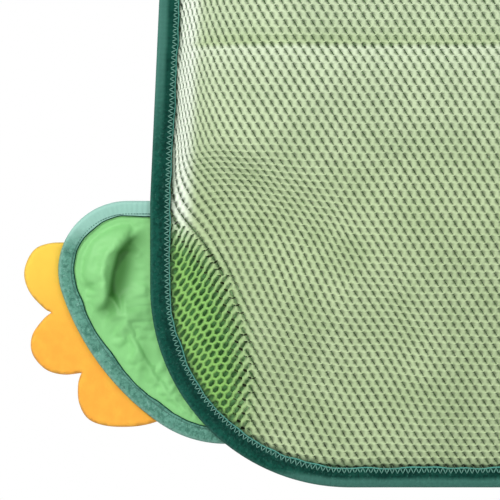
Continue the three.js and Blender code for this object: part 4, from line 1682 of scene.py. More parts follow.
        # The loose low corners: rounder holes there, and yarn painted darker and greener as painted shade and
        # green bounce light.
        slack_shade = smooth(-side * gap, *self.slack_blend)
        height = places[:, 1]
        # Painted light: paler yarn on the steep side beside the tape, which faces the light, and paler yarn
        # higher up.
        painted_light = (1.0 - smooth(out, *self.painted_light_reach)) * smooth(height, *self.painted_light_heights)
        painted_light += self.high_painted_light * smooth(height, *self.high_painted_light_heights)
        # Painted shade in a band above the crease and painted highlight in a band below it.
        above = height - self.crease_height
        painted_light -= self.crease_painted_shade * np.sign(above) * np.exp(-np.abs(above) / self.crease_reach)
        # Painted shadow of the tape's edge on the net right beside it.
        tape_shadow = 1.0 - smooth(out, *self.tape_shadow_reach)
        return np.stack([slack_shade, np.clip(painted_light, 0.0, 1.0), tape_shadow], axis=1)

    def net_guide(self) -> tuple[Piece, Array]:
        """The surface that the net lies on, with the flat net's places as its UV map.

        Returns:
            The guide, and the width and height of the flat net.
        """
        step = self.guide_step
        xs = np.arange(-self.half_width, self.half_width + step, step)
        heights = np.arange(0.0, self.mouth + step / 2.0, step)
        x, height = np.meshgrid(xs, heights)
        places = np.stack([x.ravel(), height.ravel()], axis=1)
        depth = self.depth(places).reshape(x.shape)
        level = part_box("pocket_net")[1].y - self.net_yarn / 2.0
        sideways = np.hypot(np.diff(depth, axis=1), step)
        u = np.concatenate([np.zeros((len(heights), 1)), np.cumsum(sideways, axis=1)], axis=1)
        u -= u[:, [len(xs) // 2]]
        upwards = np.hypot(np.diff(depth, axis=0), step)
        v = np.concatenate([np.zeros((1, len(xs))), np.cumsum(upwards, axis=0)], axis=0)
        v -= v[-1:]
        flat = np.array([u.max() - u.min(), v.max() - v.min()])
        v += flat[1] / 2.0
        rows, columns = np.meshgrid(np.arange(len(heights) - 1), np.arange(len(xs) - 1), indexing="ij")
        wide = len(xs)
        first = (rows * wide + columns).ravel()
        faces = np.stack([first, first + 1, first + wide + 1, first + wide], axis=1)
        guide = mesh_object("net_guide", placed(places, level - depth.ravel()), faces)
        good = inside(places, cut_from(self.outline(), step, self.under_tape))
        good &= places[:, 1] < self.mouth - self.under_tape
        store(guide, "good", good)
        store(guide, "tone", self.tone(places))
        chart = np.stack([u.ravel(), v.ravel()], axis=1)[faces.ravel()] / flat.max() + 0.5
        layer = guide.data.uv_layers.new(name="UVMap")
        layer.data.foreach_set("uv", chart.ravel())
        return guide, flat

    def net(self, finishes: Wardrobe) -> Piece:
        """Knits the net over its guide."""
        guide, flat = self.net_guide()
        net = mesh_object("pocket_net_yarn", np.zeros((0, 3)), [])
        Knitting().applied(net, {
            "Surface": guide, "Span": float(flat.max()), "Pitch": self.net_pitch, "Row": self.net_row,
            "Hole": self.hole, "Pull": self.pull, "Slack Hole": self.slack_hole,
            "Slack Pull": self.slack_pull, "Yarn": self.net_yarn,
            "Columns": int(flat[0] / self.net_pitch) + 4, "Rows": int(flat[1] / self.net_row) + 4,
            "Material": finishes.net,
        })
        bpy.data.objects.remove(guide)
        outwards(net)
        rides(dress(net, finishes.net), "bag", "pocket_net")
        cut = even(self.side_and_hem(), STEP, False)
        yarn_share = 1.0 - self.hole ** 2 * self.pull
        area = area_of(cut[cut[:, 1] <= self.mouth]) * yarn_share * self.net_uneven
        LOG.info("net: %d faces", len(net.data.polygons))
        return net

    def back(self, finishes: Wardrobe) -> Piece:
        """The cloth back, slightly uneven."""
        outline = cut_from(self.outline(), STEP, self.under_tape)
        places, faces = flat_mesh(outline, self.back_spacing)
        edge = line_distance(places, outline, True)
        out = sum(sag.rise(places, edge) for sag in self.back_sags)
        cloth = thick_cloth("back_cloth", places, faces, layer("back_panel")[0] + out, self.back_cloth)
        rides(dress(cloth, finishes.green), "bag", "back_panel")
        spots = corners_of(cloth)[:, [0, 2]] - (0.0, HEM)
        slack_shade = self.tone(spots)[:, 0]
        under_net = 1.0 - smooth(spots[:, 1], self.mouth - self.mouth_tape_end, self.mouth)
        normals = np.empty(3 * len(spots))
        cloth.data.vertex_normals.foreach_get("vector", normals)
        under_net *= normals[1::3] < 0.0
        store(cloth, "shade", self.back_shade * slack_shade * under_net)
        store(cloth, "lit", (1.0 - slack_shade) * under_net)
        declare_cloth(outline)
        return cloth

    def binding(self, finishes: Wardrobe, sewer: Sewer) -> None:
        """The tape round the body and its zigzag on both sides."""
        low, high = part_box("body_binding")
        path = self.outline()
        tape = Tape(self.tape_width, low.y, high.y)
        piece = dress(tape.made("body_tape", path, True, 31), finishes.dark_tape)
        rides(piece, "bag", "body_binding")
        threads = sewer.tape("body_stitches", path, True, tape, self.zigzag, finishes.teal_thread)
        for thread in threads:
            rides(thread, "bag")
        declare_tape(tape, path)

    def mouth_binding(self, finishes: Wardrobe, sewer: Sewer) -> None:
        """The tape over the top edge of the net."""
        top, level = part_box("mouth_binding")[1].z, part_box("pocket_net")[1].y - self.net_yarn / 2.0
        half = self.half_width_at(self.mouth)
        xs = np.linspace(-half + self.mouth_tape_end, half - self.mouth_tape_end, 240)
        depth = self.depth(np.stack([xs, np.full(len(xs), self.mouth)], axis=1))
        line = even(np.stack([xs, level - depth], axis=1), STEP, False)
        across = np.column_stack([-outward(line, False), np.zeros(len(line))])
        fold = np.column_stack([line, np.full(len(line), top)])
        lean = line[:, 0] / half * math.tan(self.lean)
        inwards = np.stack([lean, np.zeros(len(line)), -np.ones(len(line))], axis=1)
        tape = Tape(self.mouth_tape, -self.mouth_room, self.mouth_room)
        piece = tape.folded("mouth_tape", fold, inwards, across, False, 35)
        rides(dress(piece, finishes.dark_tape), "bag", "mouth_binding")
        sewn = fold + inwards * (tape.width - tape.sewn)
        for side, way in (("front", -1.0), ("back", 1.0)):
            at = sewn + across * way * (self.mouth_room - tape.sunk)
            thread = sewer.line(
                f"mouth_stitches_{side}", at, inwards, across * way, False, self.zigzag, finishes.teal_thread
            )
            rides(thread, "bag")
        declare_tape(tape, line)

    def built(self, finishes: Wardrobe, sewer: Sewer) -> None:
        """Makes every piece of the body."""
        self.back(finishes)
        self.net(finishes)
        self.binding(finishes, sewer)
        self.mouth_binding(finishes, sewer)
        LOG.info("body")


# Padded pieces


@dataclass(frozen=True)
class Gathers:
    """Small gathers beside a sewn edge, about a pitch apart, which fade over a reach from there."""

    seed: int
    height: float
    pitch: float
    reach: float
    run: float = 3.0 * MM

    def rise(self, places: Array, rim: Array, held: float) -> Array:
        """How far the gathers stand out.

        Args:
            places: the (x, height) places.
            rim: the even, closed outline of the cloth.
            held: how wide the strip under the tape is, which stays flat.

        Returns:
            The rise of each place, below 0 between the gathers.
        """
        gap, _, share = nearest(places, rim, True)
        length = float(np.linalg.norm(np.diff(np.vstack([rim, rim[:1]]), axis=0), axis=1).sum())
        wander = Ripple(self.seed, 6.0 * self.pitch)(places)
        strength = Ripple(self.seed + 1, 4.0 * self.pitch)(places)
        wave = np.sin(share * length * 2.0 * np.pi / self.pitch + 2.0 * wander) * (0.6 + 0.4 * strength)
        free = smooth(gap, held, held + self.run)
        return self.height * (wave * free * bump(gap - held, self.reach))


@dataclass(frozen=True)
class Crease:
    """A fold in a cloth: a valley along a line, gentle on its left and steep on its right.

    A lip stands beside its steep side. Its place and reach are multiples of the steep reach.
    """

    line_mm: tuple[Pair, ...]
    depth: float
    gentle: float
    steep: float
    lip: float
    lip_place: float = 2.2
    lip_reach: float = 1.3
    ends: Pair = (0.03, 0.97)
    swell: float = 0.6

    def rise(self, places: Array) -> Array:
        """How far the cloth stands out at (x, height) places, below 0 in the valley."""
        gap, side, share = nearest(places, even(np.array(self.line_mm) * MM, 1.0 * MM, False), False)
        strength = np.sin(np.pi * np.clip(share, *self.ends)) ** self.swell
        valley = -self.depth * bump(gap, np.where(side > 0.0, self.gentle, self.steep))
        beyond = gap - self.lip_place * self.steep
        lip = self.lip * bump(beyond, self.lip_reach * self.steep) * (side < 0.0)
        return (valley + lip) * strength


@dataclass
class Foot:
    """A padded foot beside the body: two cloths, foam, a tape over its edge and toes of felt behind it.

    Its sizes are those of the left foot. The right one is its mirror.
    """

    right: bool
    body: Body
    top: float = 129.2 * MM
    tuck: float = 8.5 * MM
    top_reach: float = 10.3 * MM
    nose: float = 31.4 * MM
    nose_turn: float = math.radians(18.6)
    sweep: float = 118.0 * MM
    sweep_turn: float = math.radians(54.7)
    heel: float = 52.9 * MM
    heel_turn: float = math.radians(105.0)
    tape_width: float = 7.4 * MM
    under_tape: float = 1.1 * MM
    held: float = 8.0 * MM
    cloth: float = 0.5 * MM
    seat: float = 0.4 * MM
    rim_step: float = 1.5 * MM
    spacing: float = 1.6 * MM
    dome: float = 5.4 * MM
    back_dome: float = 1.2 * MM
    fold_run: float = 2.5 * MM
    back_run: float = 6.0 * MM
    back_gathers: float = 0.3
    shade_depth: float = 4.2 * MM
    shade: float = 0.97
    gathers: Gathers = Gathers(51, 0.22 * MM, 7.0 * MM, 9.0 * MM)
    sag: Sag = Sag(52, 0.5 * MM, 24.0 * MM, 8.0 * MM, 18.0 * MM)
    foam_inset: float = 11.5 * MM
    foam_over_heel: float = 60.0 * MM
    foam_spacing: float = 2.4 * MM
    foam_behind_front: float = 1.2 * MM
    foam_least: float = 0.5 * MM
    foam_edge: float = 0.8 * MM
    foam_back_rise: float = 0.9 * MM
    foam_run: float = 6.0 * MM
    foam_fill: float = 0.6
    toe_tuck: float = 6.0 * MM
    toe_spacing: float = 1.3 * MM
    toe_round: float = 0.9 * MM
    toe_fuzz: float = 0.05 * MM
    toe_curl: float = 0.35 * MM
    toe_curl_length: float = 60.0 * MM
    hinge: Pair = (-171.5 * MM, 58.9 * MM)
    hinge_way: Pair = (-0.93969, -0.34202)
    bend_inside: float = 10.0 * MM
    bend_outside: float = 6.0 * MM
    seam: Seam = Seam(2.6 * MM, 0.0, 0.2 * MM, 0.2 * MM)
    toe_shares: tuple = (
        ((0.78, 0.827), (1.08, 0.827), (1.275, 0.795), (1.373, 0.709), (1.319, 0.627), (1.156, 0.557),
         (1.073, 0.541)),
        ((1.073, 0.541), (1.167, 0.512), (1.286, 0.446), (1.286, 0.372), (1.145, 0.307), (0.951, 0.284),
         (0.752, 0.291)),
        ((0.752, 0.291), (0.788, 0.245), (0.778, 0.168), (0.68, 0.102), (0.486, 0.073), (0.215, 0.069),
         (0.0, 0.082), (-0.163, 0.106)),
    )
    creases: tuple[Crease, ...] = (
        Crease(
            ((-176.9, 116.1), (-184.7, 111.6), (-189.5, 105.3), (-191.7, 96.8), (-193.3, 87.8),
             (-195.8, 81.5), (-201.8, 77.0)),
            depth=4.3 * MM, gentle=8.0 * MM, steep=2.2 * MM, lip=1.3 * MM,
        ),
        Crease(
            ((-209.0, 93.0), (-204.5, 90.5), (-199.0, 88.0)),
            depth=1.5 * MM, gentle=2.2 * MM, steep=1.8 * MM, lip=0.9 * MM,
        ),
        Crease(
            ((-177.0, 68.0), (-178.8, 56.0), (-181.5, 44.0)),
            depth=1.6 * MM, gentle=4.5 * MM, steep=2.4 * MM, lip=0.3 * MM,
        ),
    )

    @property
    def side(self) -> str:
        """The foot's side, as the user sees it."""
        return "right" if self.right else "left"

    @property
    def body_name(self) -> str:
        """The moving body that the foot is."""
        return f"{self.side}_foot"

    def turned_over(self, points: Array) -> Array:
        """An outline of the left foot as this foot has it."""
        return mirrored(points) if self.right else points

    def as_left(self, places: Array) -> Array:
        """Where places on this foot are on the left foot."""
        return places * (-1.0, 1.0) if self.right else places

    def folds(self, places: Array) -> Array:
        """How far the folds of the front stand out at (x, height) places, below 0 in their valleys."""
        return sum(crease.rise(self.as_left(places)) for crease in self.creases)

    def edge(self) -> Array:
        """The bound edge of the left foot, from its top past the nose to the heel."""
        def along(centre: Array, distance: float, turn: float) -> Array:
            """The centre of the next stretch."""
            return centre - distance * np.array([math.cos(turn), math.sin(turn)])

        side = -self.body.half_width
        nose = np.array([side - self.top_reach, self.top - self.nose])
        sweep = along(nose, self.nose - self.sweep, self.nose_turn)
        heel = along(sweep, self.sweep - self.heel, self.sweep_turn)
        return np.vstack([
            [[side + self.tuck, self.top]],
            arc(nose, self.nose, np.pi / 2.0, np.pi + self.nose_turn),
            arc(sweep, self.sweep, np.pi + self.nose_turn, np.pi + self.sweep_turn)[1:],
            arc(heel, self.heel, np.pi + self.sweep_turn, np.pi + self.heel_turn)[1:],
        ])

    def outline(self) -> Array:
        """The whole left foot: its edge, then back up behind the rounded corner of the body."""
        edge = self.edge()
        centre = (self.body.corner - self.body.half_width, self.body.corner)
        start = math.atan2(edge[-1, 1] - centre[1], edge[-1, 0] - centre[0])
        return np.vstack([edge, arc(centre, self.body.corner - self.tuck, start, -np.pi)[1:]])

    def toes_outline(self) -> Array:
        """Three toes in one piece, sewn behind the edge of the left foot."""
        edge = self.edge()
        side, low, reach = -self.body.half_width, edge[:, 1].min(), -self.body.half_width - edge[:, 0].min()
        lobes = []
        for shares in self.toe_shares:
            spots = [(side - out * reach, mix(low, self.top, up)) for out, up in shares]
            lobes.append(curved(np.array(spots), 12)[bool(lobes):])
        toes = np.vstack(lobes)
        sewn = drawn_in(even(edge, STEP, False), self.toe_tuck, False)
        kept = (sewn[:, 1] < toes[0, 1] - self.toe_tuck) & (sewn[:, 1] > toes[-1, 1] + self.toe_tuck)
        return np.vstack([toes, sewn[kept & (sewn[:, 0] < toes[-1, 0])][::-1]])

    def carried(self, piece: Piece, *nodes: str) -> Piece:
        """Bakes a finished piece's place into its mesh, and hides the nodes that it stands for."""
        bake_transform(piece)
        if nodes:
            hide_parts(*nodes)
        return piece

    def cloths(self, finishes: Wardrobe) -> None:
        """The two cloths, blown up by the foam, with the front one folded as it is sewn."""
        outline = self.turned_over(cut_from(self.outline(), self.rim_step, self.under_tape))
        places, faces, risen = Puff(self.dome).heights(outline, self.held, self.spacing)
        edge = line_distance(places, even(outline, self.spacing, True), True)
        folds = self.folds(places) * smooth(edge, self.held, self.held + self.fold_run)
        gathers = self.gathers.rise(places, even(outline, self.rim_step, True), self.held)
        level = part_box(f"{self.side}_foot_front")[1].y - self.seat
        sag = self.sag.rise(self.as_left(places), edge)
        out = np.maximum(risen + folds + gathers + sag, -self.seat)
        front = thick_cloth(f"{self.side}_foot_cloth", places, faces, level - out, self.cloth)
        dress(front, finishes.green)
        valleys = -self.folds(corners_of(front)[:, [0, 2]] - (0.0, HEM))
        store(front, "shade", self.shade * smooth(valleys, 0.0, self.shade_depth))
        self.carried(front, f"{self.side}_foot_front")
        back_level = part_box(f"{self.side}_foot_back")[0].y + self.seat
        rise = self.back_dome * smooth(edge, self.held, self.held + self.back_run)
        rise = rise + self.back_gathers * gathers
        back = thick_cloth(f"{self.side}_foot_back_cloth", places, faces, back_level + rise, self.cloth)
        dress(back, finishes.green)
        self.carried(back, f"{self.side}_foot_back")
        declare_cloth(outline)
        declare_cloth(outline)
        self.foam(finishes, front, back_level)

    def foam(self, finishes: Wardrobe, front: Piece, back_level: float) -> None:
        """The thin foam between the cloths."""
        whole = even(self.outline(), STEP, True)
        inner = drawn_in(whole, self.foam_inset, True)
        clear = line_distance(inner, whole, True) > 0.98 * self.foam_inset
        inner = inner[clear & (inner[:, 1] > self.outline()[:, 1].min() + self.foam_over_heel)]
        places, faces = flat_mesh(self.turned_over(inner), self.foam_spacing)
        ahead = Surface(front).y(places, back_level) + self.foam_behind_front
        edge = line_distance(places, self.turned_over(inner), True)
        behind = back_level - self.foam_edge + self.foam_back_rise * smooth(edge, 0.0, self.foam_run)
        behind = np.maximum(ahead + self.foam_least, behind)
        foam = two_faced(f"{self.side}_foot_pad", places, faces, ahead, behind)
        dress(foam, finishes.foam)
        self.carried(foam, f"{self.side}_foot_foam")

    def tape(self, finishes: Wardrobe, sewer: Sewer) -> None:
        """The paler tape folded over the edge."""
        low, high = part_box(f"{self.side}_foot_binding")
        path = self.turned_over(self.edge())
        tape = Tape(self.tape_width, low.y, high.y)
        piece = tape.made(f"{self.side}_foot_tape", path, False, 41)
        dress(piece, finishes.pale_tape)
        self.carried(piece, f"{self.side}_foot_binding")
        threads = sewer.tape(f"{self.side}_foot_stitches", path, False, tape, self.seam, finishes.foot_thread)
        for thread in threads:
            self.carried(thread)
        declare_tape(tape, path)

    def toes(self, finishes: Wardrobe) -> None:
        """The felt toes."""
        outline = self.turned_over(self.toes_outline())

        def curl(places: Array) -> Array:
            """A slight wave of the felt."""
            return self.toe_curl * Ripple(61, self.toe_curl_length)(places)

        toes = soft_plate(
            f"{self.side}_toe_felt", outline, *layer(f"{self.side}_toes"), self.toe_spacing, self.toe_round,
            self.toe_fuzz, curl,
        )
        dress(toes, finishes.orange)
        self.carried(toes, f"{self.side}_toes")
        declare_cloth(outline)

    def built(self, finishes: Wardrobe, sewer: Sewer) -> None:
        """Makes every piece of the foot."""
        self.cloths(finishes)
        self.tape(finishes, sewer)
        self.toes(finishes)
        LOG.info("%s foot", self.side)


# The head


@dataclass
class Head:
    """The padded animal head over the mouth: cloths, foam, tape, spines, felt eyes and a stitched face."""

    bottom: float = 278.0 * MM
    tall: float = 152.0 * MM
    half_width: float = 132.0 * MM
    cheek: float = 56.0 * MM
    brow: float = 44.0 * MM
    saddle_drop: float = 22.0 * MM
    tape_width: float = 8.0 * MM
    under_tape: float = 1.1 * MM
    held: float = 8.4 * MM
    dome: float = 6.0 * MM
    least_rise: float = 0.5
    least_run: float = 18.0 * MM
    fullness: float = 1.8
    front_cloth: float = 0.6 * MM
    back_cloth: float = 0.5 * MM
    seat: float = 0.4 * MM
    gathers: Gathers = Gathers(71, 0.3 * MM, 9.0 * MM, 14.0 * MM)
    front_sag: Sag = Sag(72, 0.35 * MM, 60.0 * MM, 8.4 * MM, 28.4 * MM)
    back_sag: Sag = Sag(73, 0.25 * MM, 40.0 * MM, 8.4 * MM, 20.4 * MM)
    spacing: float = 3.0 * MM
    foam_inset: float = 12.4 * MM
    foam_spacing: float = 3.5 * MM
    foam_behind_front: float = 1.0 * MM
    foam_least: float = 0.4 * MM
    foam_clear: float = 0.1 * MM
    foam_fill: float = 0.6
    felt_spacing: float = 1.3 * MM
    felt_round: float = 0.45
    felt_fuzz: float = 0.04 * MM
    laid_over: float = 0.05 * MM
    eye: float = 21.0 * MM
    eye_felt: float = 1.2 * MM
    eye_sewn: float = 1.5 * MM
    pupil: float = 10.0 * MM
    pupil_felt: float = 1.0 * MM
    pupil_shift: float = 5.0 * MM
    nostril: Pair = (4.5 * MM, 3.2 * MM)
    nostril_spacing: float = 36.0 * MM
    nostril_rise: float = 68.0 * MM
    nostril_end: float = 0.97
    smile_rise: float = 26.0 * MM
    smile_radius: float = 92.0 * MM
    smile_half_turn: float = math.radians(38.0)
    smile_width: float = 3.2 * MM
    smile_end: float = 0.25
    smile_taper: float = 14.0
    crest: float = 20.0 * MM
    crest_rise: float = 10.0 * MM
    crest_side: float = 14.0 * MM
    crest_side_drop: float = 16.0 * MM
    crest_spacing: float = 27.0 * MM
    crest_cut: float = 1.8 * MM
    crest_round: float = 0.9 * MM
    crest_fuzz: float = 0.05 * MM
    zigzag: Seam = Seam(2.4 * MM, 2.2 * MM)
    eye_seam: Seam = Seam(2.2 * MM, 0.0, 0.2 * MM, 0.2 * MM)
    satin: Seam = Seam(0.8 * MM, 1.0, 0.22 * MM, 0.24 * MM)
    satin_over: float = 0.15 * MM

    @property
    def top(self) -> float:
        """The height of the brows' tops."""
        return self.bottom + self.tall

    @property
    def brow_x(self) -> float:
        """How far the eyes and tabs are from the middle."""
        return self.half_width - self.cheek

    def outline(self) -> Array:
        """Two cheeks, two brows and one hollow arc between the brows."""
        cheek_height, brow_height = self.bottom + self.cheek, self.top - self.brow
        tangent = math.asin((self.cheek - self.brow) / (brow_height - cheek_height))
        saddle = self.top - self.saddle_drop
        rise = saddle - brow_height
        radius = (self.brow_x**2 + rise**2 - self.brow**2) / (2.0 * (self.brow - rise))
        centre = saddle + radius
        meet = math.atan2(centre - brow_height, -self.brow_x)
        right = np.vstack([
            arc((self.brow_x, cheek_height), self.cheek, -np.pi / 2.0, tangent, 40),
            arc((self.brow_x, brow_height), self.brow, tangent, meet, 40),
            arc((0.0, centre), radius, meet - np.pi, -np.pi / 2.0, 12)[1:],
        ])
        return np.vstack([right, mirrored(right[:-1])])

    def spines(self) -> Array:
        """The outline of three round spines in one."""
        middle = np.array([0.0, self.top + self.crest_rise - self.crest])
        side_height = self.top + self.crest_rise - self.crest_side_drop - self.crest_side
        beside = np.array([self.crest_spacing, side_height])
        gap = float(np.linalg.norm(beside - middle))
        way = math.atan2(*(beside - middle)[::-1])
        large, small = self.crest, self.crest_side
        at_middle = math.acos((large**2 + gap**2 - small**2) / (2.0 * large * gap))
        at_side = math.acos((small**2 + gap**2 - large**2) / (2.0 * small * gap))
        right = arc(beside, small, way + np.pi + at_side, way + 3.0 * np.pi - at_side, 48)
        above = arc(middle, large, way + at_middle, np.pi - way - at_middle, 48)[1:-1]
        below = arc(middle, large, np.pi - way + at_middle, 2.0 * np.pi + way - at_middle, 24)[1:-1]
        return np.vstack([right, above, mirrored(right), below])

    def cloths(self, finishes: Wardrobe) -> Surface:
        """The two cloths and the foam between them. Returns the front to seat the face on."""
        outline = cut_from(self.outline(), STEP, self.under_tape)
        places, faces, risen = Puff(self.dome, 0.02).heights(outline, self.held, self.spacing)
        rim = even(outline, STEP, True)
        edge = line_distance(places, rim, True)
        least = self.least_rise * smooth(edge, self.held, self.held + self.least_run)
        share = least + (1.0 - least) * np.clip(risen / self.dome, 0.0, 1.0)
        out = self.dome * (1.0 - (1.0 - share) ** self.fullness)
        out += self.gathers.rise(places, rim, self.held) + self.front_sag.rise(places, edge)
        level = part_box("head_front")[1].y - self.seat
        front = thick_cloth("head_cloth", places, faces, level - out, self.front_cloth)
        rides(dress(front, finishes.green), "bag", "head_front")
        level = layer("head_back")[0] + self.back_sag.rise(places, edge)
        back = thick_cloth("head_back_cloth", places, faces, level, self.back_cloth, 0)
        rides(dress(back, finishes.green), "bag", "head_back")
        surface = Surface(front)
        inner = even(cut_from(self.outline(), STEP, self.foam_inset), self.spacing, True)
        spots, cells = flat_mesh(inner, self.foam_spacing)
        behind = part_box("head_foam")[1].y - self.foam_clear
        ahead = surface.y(spots, behind) + self.foam_behind_front
        ahead = np.minimum(ahead, behind - self.foam_least)
        foam = two_faced("head_pad", spots, cells, ahead, np.full(len(spots), behind))
        rides(dress(foam, finishes.foam), "bag", "head_foam")
        declare_cloth(outline)
        declare_cloth(outline)
        return surface

    def tape(self, finishes: Wardrobe, sewer: Sewer) -> None:
        """The tape round the head and its stitches."""
        low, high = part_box("head_binding")
        tape, path = Tape(self.tape_width, low.y, high.y), self.outline()
        piece = dress(tape.made("head_tape", path, True, 81), finishes.dark_tape)
        rides(piece, "bag", "head_binding")
        threads = sewer.tape("head_stitches", path, True, tape, self.zigzag, finishes.teal_thread)
        for thread in threads:
            rides(thread, "bag")
        declare_tape(tape, path)

    def disc(
        self, name: str, centre: Pair, radius: float, thickness: float, under: Surface,
        material: Material, node: str,
    ) -> tuple[Piece, Array]:
        """A round piece of felt laid on a surface. Returns it and its outline."""
        outline = arc(centre, radius, 0.0, 2.0 * np.pi, 72)[:-1]
        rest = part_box("head_front")[0].y

        def seat(places: Array) -> Array:
            """The middle of the felt over what it lies on."""
            return under.y(places, rest) - thickness / 2.0 - self.laid_over

        piece = soft_plate(
            name, outline, 0.0, thickness, self.felt_spacing, self.felt_round * thickness, self.felt_fuzz,
            seat,
        )
        return rides(dress(piece, material), "bag", node), outline

    def satin_line(
        self, name: str, places: Array, width: Array, under: Surface, finishes: Wardrobe, sewer: Sewer,
        node: str,
    ) -> None:
        """Satin stitches side by side along a line, each as wide as the line says there."""
        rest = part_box("head_front")[0].y
        points = placed(places, under.y(places, rest) - self.satin_over)
        across = upright(outward(places, False)) * width[:, None]
        rides(sewer.line(name, points, across, USER, False, self.satin, finishes.dark_thread), "bag", node)

    def face(self, surface: Surface, finishes: Wardrobe, sewer: Sewer) -> None:
        """Felt eyes, stitched nostrils and a stitched smile."""
        brow_height = self.top - self.brow
        for side, sign in (("left", -1.0), ("right", 1.0)):
            white, outline = self.disc(
                f"{side}_eye_felt", (sign * self.brow_x, brow_height), self.eye, self.eye_felt, surface,
                finishes.white, f"{side}_eye_white",
            )
            ring = even(drawn_in(outline, self.eye_sewn, True), 1.0 * MM, True)
            top = Surface(white)
            level = top.y(ring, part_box("head_front")[0].y) + self.laid_over
            thread = sewer.line(
                f"{side}_eye_stitches", placed(ring, level), upright(outward(ring, True)), USER, True,
                self.eye_seam, finishes.white_thread,
            )
            rides(thread, "bag")
            declare_cloth(outline)
            spot = (sign * (self.brow_x - self.pupil_shift), brow_height - self.pupil_shift / 2.0)
            pupil, round_edge = self.disc(
                f"{side}_pupil_felt", spot, self.pupil, self.pupil_felt, top, finishes.dark_felt,
                f"{side}_pupil",
            )
            declare_cloth(round_edge)
            shares = np.linspace(-self.nostril_end, self.nostril_end, 13)
            line = np.stack([
                np.full(len(shares), sign * self.nostril_spacing / 2.0),
                self.bottom + self.nostril_rise + self.nostril[1] * shares,
            ], axis=1)
            self.satin_line(
                f"{side}_nostril_satin", line, 2.0 * self.nostril[0] * np.sqrt(1.0 - shares**2), surface,
                finishes, sewer, f"{side}_nostril",
            )
        centre = (0.0, self.bottom + self.smile_rise + self.smile_radius)
        turn = self.smile_half_turn
        line = arc(centre, self.smile_radius, -np.pi / 2.0 - turn, -np.pi / 2.0 + turn, 90)
        taper = np.linspace(0.0, 1.0, len(line)) * self.smile_taper + self.smile_end
        taper = np.minimum(1.0, taper)
        taper = np.minimum(taper, taper[::-1])
        self.satin_line("smile_satin", line, self.smile_width * taper, surface, finishes, sewer, "smile")

    def built(self, finishes: Wardrobe, sewer: Sewer) -> None:
        """Makes every piece of the head."""
        surface = self.cloths(finishes)
        self.tape(finishes, sewer)
        self.face(surface, finishes, sewer)
        outline = self.spines()
        crest = soft_plate(
            "crest_felt_spines", outline, *layer("crest"), self.crest_cut, self.crest_round, self.crest_fuzz
        )
        rides(dress(crest, finishes.crest), "bag", "crest")
        declare_cloth(outline)
        LOG.info("head")


# What hangs the bag on its wall


